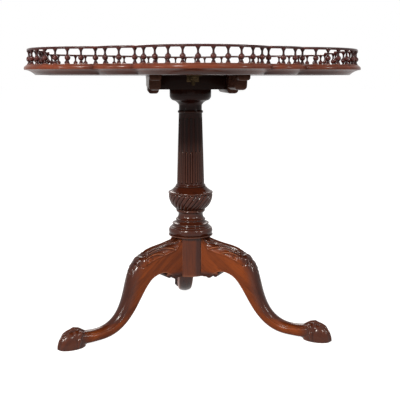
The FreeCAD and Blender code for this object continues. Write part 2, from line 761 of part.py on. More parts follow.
def leg_section(crest, under, half_width, crown, swell):
    """Section of a leg as four arcs: crowned top, two sides and underside."""
    up = crest - under
    half = up.Length / 2
    up.normalize()
    middle = (crest + under) / 2

    def at(across, height):
        return middle + up * height + Vector(0, across, 0)

    corner = half_width - swell
    high = half - crown
    low = -half + swell
    edges = [
        arc(at(corner, low), at(half_width, (low + high) / 2), at(corner, high)),
        arc(at(corner, high), at(0, half), at(-corner, high)),
        arc(at(-corner, high), at(-half_width, (low + high) / 2), at(-corner, low)),
        arc(at(-corner, low), at(0, -half), at(corner, low)),
    ]
    return Part.Wire(edges)


def leg_line(station):
    """Crest and underside of the leg at one station, counted from the drum."""
    if station == 0:
        return Vector(LEG_JOINT, 0, LEG_TOP), Vector(LEG_JOINT, 0, DRUM_BOTTOM)
    row = LEG_STATIONS[station - 1]
    crest = Vector(LEG_JOINT + row[0] * LEG_REACH, 0, row[1] * LEG_TOP)
    return crest, Vector(LEG_JOINT + row[2] * LEG_REACH, 0, row[3] * LEG_TOP)


def leg_section_at(station):
    """Section at one station of the leg: flat at the drum, crowned at the knee and round at the ankle."""
    crest, under = leg_line(station)
    thinning = (station - KNEE_STATION) / (ANKLE_STATION - KNEE_STATION)
    half_width = blend(LEG_WIDTH / 2, ANKLE_WIDTH / 2, thinning)
    swell = blend(KNEE_SWELL, ANKLE_SWELL, thinning)
    crown = blend(ROOT_CROWN, KNEE_CROWN, station / CROWN_STATION)
    return leg_section(crest, under, half_width, blend(crown, ANKLE_SWELL, thinning), swell)


def leg_body():
    """Cabriole leg on +X, from the drum to the foot."""
    return Part.makeLoft([leg_section_at(i) for i in range(len(LEG_STATIONS) + 1)], True)


def root_roll(radius, out, bottom, half):
    """Roll across the leg's lower edge, at a distance from the drum."""
    start = Vector(LEG_JOINT + out, -half, bottom + radius)
    return Part.makeCylinder(radius, 2 * half, start, Vector(0, 1, 0))


def root_rolls():
    """Lobe that ends the leg's lower edge beside the drum, and the smaller curl next to it."""
    half = LEG_WIDTH / 2 - KNEE_SWELL
    lobe = root_roll(ROOT_LOBE_RADIUS, ROOT_LOBE_OUT, DRUM_BOTTOM - ROOT_LOBE_DROP, half)
    curl_bottom = DRUM_BOTTOM + ROOT_CURL_RISE
    curl = root_roll(ROOT_CURL_RADIUS, ROOT_CURL_OUT, curl_bottom, half - ROOT_CURL_INSET)
    return [lobe, curl]


def toe(stations, side):
    """Toe lofted through circles set square to its path, each starting in line with the one before."""
    centre = Vector(BALL_CENTRE_RADIUS, 0, BALL_CENTRE_HEIGHT)
    path = []
    for station in stations:
        out, across, up = station[:3]
        path.append(centre + Vector(out * BALL_LENGTH, side * across * BALL_WIDTH, up * BALL_HEIGHT) / 2)
    last = len(path) - 1
    start = Z_AXIS
    sections = []
    for i, station in enumerate(stations):
        heading = path[min(i + 1, last)] - path[max(i - 1, 0)]
        heading.normalize()
        start = start - heading * start.dot(heading)
        start.normalize()
        first = start * station[3] * TOE_RADIUS
        second = heading.cross(first)
        ring = Part.Circle(path[i] + first, path[i] + second, path[i] - first)
        sections.append(Part.Wire(ring.toShape()))
    return Part.makeLoft(sections, True)


def ellipsoid(centre, length, width, height):
    """Ellipsoid with its axes along X, Y and Z."""
    stretch = FreeCAD.Matrix()
    stretch.scale(length / 2, width / 2, height / 2)
    return Part.makeSphere(1.0).transformGeometry(stretch).translated(centre)


def make_foot():
    """Rounded wrist and a ball gripped by a front toe, two side toes and a heel toe."""
    crest, under = leg_line(len(LEG_STATIONS))
    wide = ANKLE_WIDTH + 2 * WRIST_SWELL
    wrist = ellipsoid((crest + under) / 2, wide, wide, (crest - under).Length + 2 * WRIST_SWELL)
    ball = ellipsoid(Vector(BALL_CENTRE_RADIUS, 0, BALL_CENTRE_HEIGHT), BALL_LENGTH, BALL_WIDTH, BALL_HEIGHT)
    return [wrist, ball, toe(FRONT_TOE, 1), toe(SIDE_TOE, 1), toe(SIDE_TOE, -1), toe(HEEL_TOE, 1)]


def make_leg():
    """Leg on +X in one piece with its dovetail tongue and its claw-and-ball foot."""
    leg = leg_body().fuse(tongue(0.0, DRUM_BOTTOM, LEG_TOP - TONGUE_TOP_DROP))
    below_floor = box(Vector(-REACH, -REACH, -REACH), Vector(REACH, REACH, 0))
    for piece in root_rolls() + make_foot():
        leg = leg.fuse(piece.cut(below_floor))
    return leg


# Catch

def bolt_passage(start, end):
    """Space round the bolt, between two places along Y."""
    half_width = BOLT_WIDTH / 2 + SLOT_GAP
    half_height = BOLT_HEIGHT / 2 + SLOT_GAP
    low = Vector(-half_width, start, BOLT_MIDDLE - half_height)
    high = Vector(half_width, end, BOLT_MIDDLE + half_height)
    return box(low, high)


def make_strike():
    """Brass plate on the front of the block, with a slot for the bolt."""
    low = Vector(-STRIKE_WIDTH / 2, BLOCK_FRONT - STRIKE_THICKNESS, TENON_TOP - STRIKE_HEIGHT)
    high = Vector(STRIKE_WIDTH / 2, BLOCK_FRONT, TENON_TOP)
    return box(low, high).cut(bolt_passage(BLOCK_FRONT - STRIKE_THICKNESS, BLOCK_FRONT))


def make_catch_case():
    """Plate under the top with a case that guides the bolt."""
    middle = (CASE_FRONT + CASE_BACK) / 2
    half_length = CATCH_PLATE_LENGTH / 2
    half_plate = CATCH_PLATE_WIDTH / 2
    plate = box(
        Vector(-half_plate, middle - half_length, CATCH_PLATE_BOTTOM),
        Vector(half_plate, middle + half_length, BOARD_BOTTOM),
    )
    case_bottom = BOLT_MIDDLE - BOLT_HEIGHT / 2 - BOLT_GAP - CATCH_WALL
    half_case = CATCH_CASE_WIDTH / 2
    case = box(Vector(-half_case, CASE_FRONT, case_bottom), Vector(half_case, CASE_BACK, CATCH_PLATE_BOTTOM))
    half_width = BOLT_WIDTH / 2 + BOLT_GAP
    half_height = BOLT_HEIGHT / 2 + BOLT_GAP
    guide = box(
        Vector(-half_width, CASE_FRONT, BOLT_MIDDLE - half_height),
        Vector(half_width, CASE_BACK, BOLT_MIDDLE + half_height),
    )
    return plate.fuse(case).cut(guide).removeSplitter()


def make_bolt():
    """Sliding bolt, drawn back, with a thumb lever hanging between the case and the block."""
    half_width = BOLT_WIDTH / 2
    half_height = BOLT_HEIGHT / 2
    low = BOLT_MIDDLE - half_height
    bar = box(
        Vector(-half_width, CASE_FRONT - BOLT_TAIL, low),
        Vector(half_width, BOLT_NOSE, BOLT_MIDDLE + half_height),
    )
    half_lever = LEVER_WIDTH / 2
    lever = box(
        Vector(-half_lever, LEVER_BACK - LEVER_THICKNESS, low - LEVER_DROP + half_lever),
        Vector(half_lever, LEVER_BACK, low),
    )
    tip = Part.makeCylinder(
        half_lever,
        LEVER_THICKNESS,
        Vector(0, LEVER_BACK - LEVER_THICKNESS, low - LEVER_DROP + half_lever),
        Vector(0, 1, 0),
    )
    return bar.multiFuse([lever, tip]).removeSplitter()


def main():
    """Build every piece and write it."""
    os.makedirs("parts", exist_ok=True)
    save("column", make_column())
    save("tenon_wedge", make_wedge())
    leg = make_leg()
    for node, turn in LEG_TURNS.items():
        save(node, turned(leg, turn))
    save("pivot_block", make_block())
    pin = make_pin()
    save("pivot_pin_right", pin)
    save("pivot_pin_left", mirrored(pin))
    save("strike_plate", make_strike())
    save("top_board", make_top_board())
    bearer = make_bearer()
    save("bearer_right", bearer)
    save("bearer_left", mirrored(bearer))
    large_rail, small_rail = make_rails()
    large_spindles, small_spindles = make_spindle_groups()
    for i in range(LOBE_COUNT):
        turn = FRONT + i * LOBE_STEP
        number = str(i + 1)
        save("rail_lobe_" + number, turned(large_rail, turn))
        save("rail_small_" + number, turned(small_rail, turn))
        save("spindles_lobe_" + number, turned(large_spindles, turn))
        save("spindles_small_" + number, turned(small_spindles, turn))
    save("catch_case", make_catch_case())
    save("catch_bolt", make_bolt())


main()
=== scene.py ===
import math

import bmesh
import bpy
import numpy as np
from bpy.props import FloatProperty, FloatVectorProperty, IntProperty, PointerProperty
from bpy.types import Operator, Panel, PropertyGroup
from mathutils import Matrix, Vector


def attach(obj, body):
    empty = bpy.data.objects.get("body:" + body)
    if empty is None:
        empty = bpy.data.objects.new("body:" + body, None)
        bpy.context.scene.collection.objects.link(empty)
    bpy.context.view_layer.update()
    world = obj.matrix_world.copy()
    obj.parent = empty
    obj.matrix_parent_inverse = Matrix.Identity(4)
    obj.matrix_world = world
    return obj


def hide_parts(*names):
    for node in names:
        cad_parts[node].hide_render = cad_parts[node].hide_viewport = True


bl_info = {
    "name": "Tray Top Tea Table",
    "version": (1, 0, 0),
    "blender": (4, 5, 0),
    "location": "View3D > Sidebar > Tea Table",
    "description": "Turned, carved and polished pieces of a tilt-top tea table, fitted to its packed frame",
    "category": "Object",
}

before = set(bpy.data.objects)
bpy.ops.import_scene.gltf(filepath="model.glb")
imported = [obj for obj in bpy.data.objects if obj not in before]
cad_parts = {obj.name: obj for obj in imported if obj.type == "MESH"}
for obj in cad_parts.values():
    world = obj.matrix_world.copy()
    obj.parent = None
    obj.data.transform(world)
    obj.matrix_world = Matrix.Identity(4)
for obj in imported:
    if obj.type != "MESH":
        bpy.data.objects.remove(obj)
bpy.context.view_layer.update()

# Lengths below are in millimetres, in the frame's axes: the floor is at zero and the front is -Y.
MM = 0.001

# Plan of the top on the line of the gallery spindles
LOBE_COUNT = 6
LOBE_STEP = 360.0 / LOBE_COUNT
FRONT = -90.0
LOBE_RADIUS = 162.0
LOBE_CENTRE = 256.0
SMALL_RADIUS = 95.0
SMALL_CENTRE = 280.6
LOBE_SPACES = 11
SMALL_SPACES = 3
TABLE_TOP = 711.0
BOARD_TOP = 674.0
BOARD_BOTTOM = 651.0
RAIL_BOTTOM = 705.5

# Column: upper radius, rise and swell of each moulding, upward from the drum's lower edge.
# A hollow has a negative swell. The urn and the shaft are carved and come between the lists.
COLUMN_FOOT = 134.0
BASE_MOULDINGS = [
    (48.0, 103.5, 0.0), (58.0, 0.0, 0.0), (58.0, 3.0, 0.0), (54.0, 0.0, 0.0), (54.0, 18.5, 3.5),
    (51.0, 0.0, 0.0), (51.0, 3.0, 0.0), (46.0, 5.5, -1.2), (46.0, 4.0, 2.0), (37.0, 6.5, -1.5),
    (37.0, 4.0, 2.0), (33.6, 17.5, -2.9), (36.1, 5.0, 2.6), (38.2, 0.0, 0.0), (38.2, 2.0, 0.0),
    (36.8, 0.0, 0.0),
]
URN_RADIUS = 57.0
URN_HEIGHT = 42.5
URN_SWELL = 6.8
COLLAR_MOULDINGS = [
    (58.0, 0.0, 0.0), (58.0, 2.0, 0.0), (55.0, 3.0, 0.8), (40.5, 12.0, -1.1), (37.4, 0.0, 0.0),
    (37.4, 5.0, 2.0), (35.6, 3.0, 0.0),
]
SHAFT_TOP_RADIUS = 30.3
CAPITAL_MOULDINGS = [
    (30.0, 9.0, 0.0), (30.0, 7.5, 2.7), (29.4, 0.0, 0.0), (29.4, 13.2, 0.0), (46.0, 12.0, -2.3),
    (53.2, 12.5, 2.0), (53.2, 15.5, 0.0), (22.0, 0.0, 0.0), (22.0, 33.3, 0.0),
]
SHAFT_TOP = 547.0
FLUTE_COUNT = 16
FLUTE_RADIUS = 4.8
FLUTE_MARGIN = 6.0
REED_RADIUS = 3.6
REED_SHARE = 0.47
FLUTE_COLUMNS = [-4.45, -3.7, -3.1, -1.7, 0.0, 1.7, 3.1, 3.7, 4.45]
TURNING_COLUMNS = 208

# Leg on +X: radius and height of the crest, then of the underside, from the drum to the foot
LEG_WIDTH = 48.0
ANKLE_WIDTH = 38.0
LEG_LINES = [
    (41.6, 236.0, 41.6, 134.0), (62.1, 229.9, 63.6, 135.9), (89.7, 222.5, 89.7, 150.1),
    (123.4, 215.5, 111.7, 150.6), (155.3, 200.6, 135.3, 139.0), (181.3, 175.6, 157.4, 110.4),
    (195.1, 138.1, 177.0, 76.7), (208.9, 93.0, 198.2, 46.0), (230.9, 57.6, 224.8, 21.5),
    (260.7, 38.9, 256.7, 7.6), (290.4, 34.5, 288.2, 4.2), (316.4, 37.1, 314.3, 4.0),
    (338.2, 42.0, 336.0, 8.0),
]

# Legs: node, turn about the column in degrees, and darkening of the foot, which is dirt, with painted shade
# added on the rear foot
# The rear foot's higher value is painted shade, as it stands behind the column
LEGS = [("leg_rear", 90.0, 0.92), ("leg_front_left", 210.0, 0.70), ("leg_front_right", 330.0, 0.70)]

# Foot: ball, half width of the wrist, thickness of a toe, and stations of the knuckles
BALL_PLACE = (348.0, 0.0, 5.0)
BALL_HALF = (35.0, 22.0, 37.0)
WRIST_HALF = 21.0
TOE_RADIUS = 5.5
FRONT_KNUCKLES = (2.7, 4.6)
SIDE_KNUCKLES = (2.1, 3.6)
HEEL_KNUCKLES = (1.0,)

# Rolls across the lower edge of the leg's root: radius, place outward and upward, half width
ROOT_ROLLS = [(9.5, 62.6, 140.5, 23.5), (7.0, 80.6, 142.5, 22.5)]
ROLL_EASE = 1.2

# Toes: place outward, across and upward from the ball's centre in shares of its half sizes, thickness
FRONT_TOE = [
    (-0.943, 0.0, 0.554, 1.9), (-0.629, 0.0, 0.822, 1.5), (-0.343, 0.0, 1.008, 1.25),
    (-0.029, 0.0, 1.032, 1.07), (0.349, 0.0, 0.941, 0.95), (0.657, 0.0, 0.714, 0.9),
    (0.854, 0.0, 0.435, 0.83), (0.977, 0.0, 0.122, 0.72), (1.051, 0.0, -0.092, 0.35),
]
SIDE_TOE = [
    (-0.943, 0.25, 0.473, 1.5), (-0.686, 0.41, 0.676, 1.3), (-0.471, 0.614, 0.784, 1.12),
    (-0.343, 0.827, 0.568, 0.95), (-0.257, 0.955, 0.27, 0.8), (-0.2, 0.991, 0.027, 0.65),
    (-0.171, 0.982, -0.103, 0.3),
]
HEEL_TOE = [
    (-1.243, 0.0, 0.351, 1.6), (-1.143, 0.0, 0.122, 1.1), (-1.057, 0.0, -0.027, 0.65),
    (-1.014, 0.0, -0.108, 0.3),
]


def length_property(label, text, value, least=0.0):
    """Length for the panel, in metres."""
    return FloatProperty(name=label, description=text, default=value, min=least, unit="LENGTH")


def colour_property(label, text, value):
    """Colour for the panel."""
    return FloatVectorProperty(
        name=label, description=text, subtype="COLOR", default=value, min=0.0, max=1.0)


class TeaTableSizes(PropertyGroup):
    """Sizes of the carving and of the softened edges"""

    gadroon_count: IntProperty(
        name="Gadroons", description="Lobes that wind round the urn", default=26, min=8)
    gadroon_depth: length_property("Gadroon depth", "Depth of the hollows between the gadroons", 0.0026)
    gadroon_twist: FloatProperty(
        name="Gadroon twist", description="Turn of a gadroon from the urn's foot to its rim",
        default=math.radians(32.0), subtype="ANGLE")
    leaf_relief: length_property("Leaf relief", "Height of the acanthus leaf on each knee", 0.0026)
    edge_softness: length_property("Edge softness", "Rounding of the edges by wear and polish", 0.0007)
    foot_detail: length_property("Foot detail", "Grain of the carved foot's mesh", 0.0009, 0.0004)
    screw_radius: length_property("Screw radius", "Radius of the wood screws' heads", 0.0038, 0.001)


class TeaTableFinish(PropertyGroup):
    """Colours and gloss of the mahogany and the brass"""

    stand_dark: colour_property(
        "Stand dark", "Dark streaks of the stand's wood", (0.022, 0.0046, 0.0036))
    stand_light: colour_property(
        "Stand light", "Light streaks of the stand's wood", (0.350, 0.074, 0.012))
    top_dark: colour_property("Top dark", "Dark streaks of the board", (0.034, 0.0064, 0.0038))
    top_light: colour_property("Top light", "Light streaks of the board", (0.200, 0.041, 0.0145))
    # Painted light: these light streaks are lifted so that the bearers' ends read as lit under the board
    under_painted_light: colour_property(
        "Underside light", "Light streaks of the block and the bearers", (0.170, 0.072, 0.046))
    gallery_dark: colour_property(
        "Gallery dark", "Dark streaks of the gallery's wood", (0.0100, 0.0022, 0.0021))
    gallery_light: colour_property(
        "Gallery light", "Light streaks of the gallery's wood", (0.052, 0.0090, 0.0075))
    brass: colour_property("Brass", "Colour of the aged brass", (0.040, 0.026, 0.013))
    polish: FloatProperty(
        name="Polish", description="Weight of the polish over the wood", default=0.36, min=0.0, max=1.0,
        subtype="FACTOR")


def sizes():
    """Sizes set in the panel."""
    return bpy.context.scene.tea_table_sizes


def finish():
    """Finishes set in the panel."""
    return bpy.context.scene.tea_table_finish


# Curves and grids

NO_RUN = 1e-6
GENTLE_BEND = math.radians(24)


def smooth(share):
    """Smooth step from 0 to 1."""
    share = np.clip(share, 0.0, 1.0)
    return share * share * (3.0 - 2.0 * share)


def risen(value, start, run):
    """Smooth rise from 0 at a start to 1 after a run."""
    return smooth((value - start) / run)


def fallen(value, end, run):
    """Smooth fall from 1 to 0 over a run that stops at an end."""
    return smooth((end - value) / run)


def bowed(start, end, swell, count):
    """Points after the start of an arc whose middle stands off its chord, to the right, by a swell."""
    start = np.array(start, float)
    end = np.array(end, float)
    if swell == 0.0:
        return [start + (end - start) * i / count for i in range(1, count + 1)]
    chord = end - start
    length = float(np.hypot(*chord))
    along = chord / length
    side = np.array((along[1], -along[0]))
    radius = (length * length / 4 + swell * swell) / (2 * swell)
    half = math.asin(max(-1.0, min(1.0, length / (2 * radius))))
    points = []
    for i in range(1, count + 1):
        turn = half * (2.0 * i / count - 1.0)
        across = radius * math.cos(turn) - (radius - swell)
        points.append((start + end) / 2 + along * radius * math.sin(turn) + side * across)
    return points


def moulded(start, mouldings, step=1.6):
    """Points of a turned outline from a start, each moulding as upper radius, rise and swell."""
    points = [np.array(start, float)]
    for radius, rise, swell in mouldings:
        end = np.array((radius, points[-1][1] + rise))
        length = float(np.hypot(*(end - points[-1])))
        count = 1 if swell == 0.0 else max(5, int(length / step) + 2)
        points += bowed(points[-1], end, swell, count)
    return points


def eased(points, radius):
    """Outline with its sharp corners rounded, as wear and polish leave them."""
    result = [points[0]]
    for i in range(1, len(points) - 1):
        before = points[i - 1] - points[i]
        after = points[i + 1] - points[i]
        run_in = float(np.hypot(*before))
        run_out = float(np.hypot(*after))
        if min(run_in, run_out) < NO_RUN:
            continue
        bend = math.acos(max(-1.0, min(1.0, float(-before @ after) / (run_in * run_out))))
        if bend < GENTLE_BEND:
            result.append(points[i])
            continue
        cut = min(radius, 0.45 * run_in, 0.45 * run_out)
        start = points[i] + before / run_in * cut
        end = points[i] + after / run_out * cut
        for share in (0.0, 0.5, 1.0):
            result.append((1 - share) ** 2 * start + 2 * share * (1 - share) * points[i] + share ** 2 * end)
    result.append(points[-1])
    return result


def stepped(points, longest):
    """Outline with points added so that no straight run is longer than a given length."""
    given = [points[0]]
    for point in points[1:]:
        last = np.array(given[-1], float)
        count = math.ceil(float(np.hypot(*(np.array(point, float) - last))) / longest)
        given += [tuple(last + (np.array(point, float) - last) * i / count) for i in range(1, count + 1)]
    return given


def spline(rows, samples):
    """Smooth curve through rows of values, read at fractional row numbers."""
    rows = np.array(rows, float)
    count = len(rows)
    system = np.zeros((count, count))
    right = np.zeros_like(rows)
    system[0, 0] = system[-1, -1] = 1.0
    for i in range(1, count - 1):
        system[i, i - 1:i + 2] = (1.0, 4.0, 1.0)
        right[i] = 6.0 * (rows[i + 1] - 2.0 * rows[i] + rows[i - 1])
    bend = np.linalg.solve(system, right)
    low = np.clip(np.floor(samples).astype(int), 0, count - 2)
    share = (samples - low)[:, None]
    rest = 1.0 - share
    return (
        rows[low] * rest + rows[low + 1] * share
        + ((rest ** 3 - rest) * bend[low] + (share ** 3 - share) * bend[low + 1]) / 6.0
    )


def tube(grid):
    """Points and faces of a closed skin over rings of points, with both ends filled."""
    rows, columns, _ = grid.shape
    points = np.concatenate((grid.reshape(-1, 3), grid[:1].mean(1), grid[-1:].mean(1)))
    faces = []
    for i in range(rows - 1):
        for j in range(columns):
            a = i * columns + j
            b = i * columns + (j + 1) % columns
            faces.append((a, b, b + columns, a + columns))
    first = rows * columns
    last = (rows - 1) * columns
    for j in range(columns):
        k = (j + 1) % columns
        faces.append((first, k, j))
        faces.append((first + 1, last + j, last + k))
    return points, faces


def joined(parts):
    """Points and faces of several shapes as one."""
    points = []
    faces = []
    count = 0
    for some, more in parts:
        points.append(np.asarray(some, float))
        faces += [tuple(count + i for i in face) for face in more]
        count += len(some)
    return np.concatenate(points), faces


def turned_about(points, degrees):
    """Points turned about the table's axis."""
    turn = math.radians(degrees)
    c, s = math.cos(turn), math.sin(turn)
    x, y, z = np.moveaxis(np.asarray(points, float), -1, 0)
    return np.stack((c * x - s * y, s * x + c * y, z), -1)


def full_turn(count):
    """Even angles round a circle."""
    return np.arange(count) * 2 * math.pi / count


def level_ring(radius, height, turn):
    """Level ring of points about the table's axis."""
    return np.stack((radius * np.cos(turn), radius * np.sin(turn), np.full(len(turn), height)), -1)


# Meshes and pieces

WELD = 1e-7
FRAME_WELD = 1e-6
FLAT_ANGLE = math.radians(1.5)
SHARP_ANGLE = math.radians(40)
WEAR_START = 0.05
WEAR_GAIN = 6.0


def store(mesh, name, kind, values):
    """Write values on a mesh's points."""
    layer = mesh.attributes.get(name) or mesh.attributes.new(name, kind, "POINT")
    field = "vector" if kind == "FLOAT_VECTOR" else "value"
    layer.data.foreach_set(field, np.asarray(values, np.float32).ravel())


def read_points(mesh):
    """A mesh's points as an array."""
    points = np.zeros(len(mesh.vertices) * 3)
    mesh.vertices.foreach_get("co", points)
    return points.reshape(-1, 3)


def weather_and_painted_light(mesh):
    """Store where a mesh stands proud, which wear and painted highlight lighten, and where it is hollow,
    which wax and painted shade darken.
    """
    count = len(mesh.vertices)
    points = read_points(mesh)
    normals = np.zeros(count * 3, np.float32)
    mesh.vertex_normals.foreach_get("vector", normals)
    normals = normals.reshape(-1, 3)
    edges = np.zeros(len(mesh.edges) * 2, np.int32)
    mesh.edges.foreach_get("vertices", edges)
    a, b = edges.reshape(-1, 2).T
    degree = np.maximum(np.bincount(a, minlength=count) + np.bincount(b, minlength=count), 1)
    run = points[b] - points[a]
    length = np.maximum(np.linalg.norm(run, axis=1), 1e-7)
    lean_a = (run * normals[a]).sum(1) / length
    lean_b = -(run * normals[b]).sum(1) / length
    hollow = (np.bincount(a, lean_a, count) + np.bincount(b, lean_b, count)) / degree
    spread = np.bincount(a, hollow[b], count) + np.bincount(b, hollow[a], count)
    hollow = 0.4 * hollow + 0.6 * spread / degree
    store(mesh, "wear", "FLOAT", np.clip((-hollow - WEAR_START) * WEAR_GAIN, 0.0, 1.0))
    store(mesh, "hollow", "FLOAT", np.clip(hollow * WEAR_GAIN, 0.0, 1.0))


def link(thing):
    """Put an object in the scene."""
    bpy.context.scene.collection.objects.link(thing)


def discard(helper):
    """Take a helper object and its mesh away."""
    mesh = helper.data
    bpy.data.objects.remove(helper)
    bpy.data.meshes.remove(mesh)


def helper_object(name, points, faces):
    """Object for a modifier or a node tree to work on, from points in metres."""
    mesh = bpy.data.meshes.new(name)
    mesh.from_pydata(points.tolist(), [], faces)
    return bpy.data.objects.new(name, mesh)


def new_piece(name, points, faces, body, slot, node, grain, patina_and_shade, crease):
    """Make a finished piece from points in millimetres, in place of a frame node."""
    mesh = bpy.data.meshes.new(name)
    mesh.from_pydata((points * MM).tolist(), [], faces)
    mesh.validate()
    bm = bmesh.new()
    bm.from_mesh(mesh)
    bmesh.ops.remove_doubles(bm, verts=bm.verts, dist=WELD)
    bmesh.ops.recalc_face_normals(bm, faces=bm.faces)
    bm.to_mesh(mesh)
    bm.free()
    placed(name, mesh, body, slot, [node], grain, patina_and_shade, crease)


def placed(name, mesh, body, slot, nodes, grain, patina_and_shade=0.0, crease=38.0):
    """Give a mesh its wood marks, its material and its place in the frame."""
    mesh.shade_smooth()
    mesh.set_sharp_from_angle(angle=math.radians(crease))
    points = read_points(mesh)
    store(mesh, "grain", "FLOAT_VECTOR", grain(points))
    # The stored darkening holds old polish and dirt, and also painted shade: under the board, on the drum's
    # front, at the legs' roots and flanks, on the rear foot and on the block
    store(mesh, "patina_and_shade", "FLOAT", patina_and_shade(points) if callable(patina_and_shade) else np.full(len(points), patina_and_shade))
    weather_and_painted_light(mesh)
    mesh.materials.clear()
    mesh.materials.append(finish_of(slot))
    piece = bpy.data.objects.new(name, mesh)
    link(piece)
    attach(piece, body)
    if nodes:
        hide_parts(*nodes)


def softened(name, node, width, body, slot, grain, patina_and_shade=0.0):
    """Piece with a frame node's shape and its edges rounded by wear."""
    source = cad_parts[node].data
    bm = bmesh.new()
    places = [bm.verts.new(vertex.co) for vertex in source.vertices]
    for polygon in source.polygons:
        bm.faces.new([places[i] for i in polygon.vertices])
    bmesh.ops.remove_doubles(bm, verts=bm.verts, dist=FRAME_WELD)
    bmesh.ops.dissolve_limit(bm, angle_limit=FLAT_ANGLE, verts=bm.verts, edges=bm.edges)
    sharp = [e for e in bm.edges if len(e.link_faces) == 2 and e.calc_face_angle() > SHARP_ANGLE]
    bmesh.ops.bevel(
        bm, geom=sharp, offset=width * MM, segments=3, profile=0.5, affect="EDGES", clamp_overlap=True)
    mesh = bpy.data.meshes.new(name)
    bm.to_mesh(mesh)
    bm.free()
    placed(name, mesh, body, slot, [node], grain, patina_and_shade)


# Materials

NODE_STEP = 200.0
WAX_AND_SHADE = (0.006, 0.003, 0.002)
# Worn-edge colours: real wear, and painted highlight on ridges and arrises
WORN_AND_HIGHLIGHT_WOOD = (0.42, 0.190, 0.110)
WORN_AND_HIGHLIGHT_UNDER = (0.050, 0.022, 0.014)
WORN_AND_HIGHLIGHT_GALLERY = (0.110, 0.024, 0.017)
BLACK = (0.0, 0.0, 0.0)


def wire(tree, kind, inputs=None, **settings):
    """Add a node, feed its inputs from sockets or plain values, and give its outputs."""
    node = tree.nodes.new(kind)
    node.location = (NODE_STEP * len(tree.nodes), 0.0)
    for name, value in settings.items():
        setattr(node, name, value)
    for key, value in (inputs or {}).items():
        if isinstance(value, bpy.types.NodeSocket):
            tree.links.new(value, node.inputs[key])
        else:
            node.inputs[key].default_value = value
    return node.outputs


def calculated(tree, operation, *values):
    """Sum, product or the like of some values."""
    return wire(tree, "ShaderNodeMath", dict(enumerate(values)), operation=operation)[0]


def mark(tree, name, kind="Fac"):
    """Value stored on the mesh's points."""
    return wire(tree, "ShaderNodeAttribute", attribute_name=name)[kind]


def stretched_noise(tree, source, scale, detail, roughness, distortion=0.0):
    """Noise drawn out along the grain."""
    place = wire(tree, "ShaderNodeMapping", {"Vector": source, "Scale": scale})[0]
    return wire(tree, "ShaderNodeTexNoise", {
        "Vector": place, "Scale": 1.0, "Detail": detail, "Roughness": roughness, "Distortion": distortion,
    })["Fac"]


def ramp(tree, source, stops):
    """Colours along a value."""
    colour = wire(tree, "ShaderNodeValToRGB", {"Fac": source})["Color"]
    bar = colour.node.color_ramp
    while len(bar.elements) < len(stops):
        bar.elements.new(0.5)
    for element, (position, stop) in zip(bar.elements, stops):
        element.position = position
        element.color = (*stop, 1.0)
    return colour


def mixed(tree, factor, first, second):
    """Mix a colour with a plain one by a value."""
    return wire(tree, "ShaderNodeMix", {0: factor, 6: first, 7: (*second, 1.0)}, data_type="RGBA")[2]


def ranged(tree, source, low, high, to_low, to_high):
    """Map a value from one range to another."""
    return wire(tree, "ShaderNodeMapRange", {
        "Value": source, "From Min": low, "From Max": high, "To Min": to_low, "To Max": to_high,
    })["Result"]


def bumped(tree, height, strength, distance):
    """Normal of a surface roughened by a height."""
    return wire(tree, "ShaderNodeBump", {"Height": height, "Strength": strength, "Distance": distance})[0]


def between(first, second, share):
    """Colour between two colours."""
    return tuple(a + (b - a) * share for a, b in zip(first, second))


def dimmed(colour, share):
    """Colour at a share of its strength."""
    return tuple(share * c for c in colour)


def blank_material(name):
    """Material with an empty node tree."""
    material = bpy.data.materials.new(name)
    material.use_nodes = True
    material.node_tree.nodes.clear()
    return material, material.node_tree


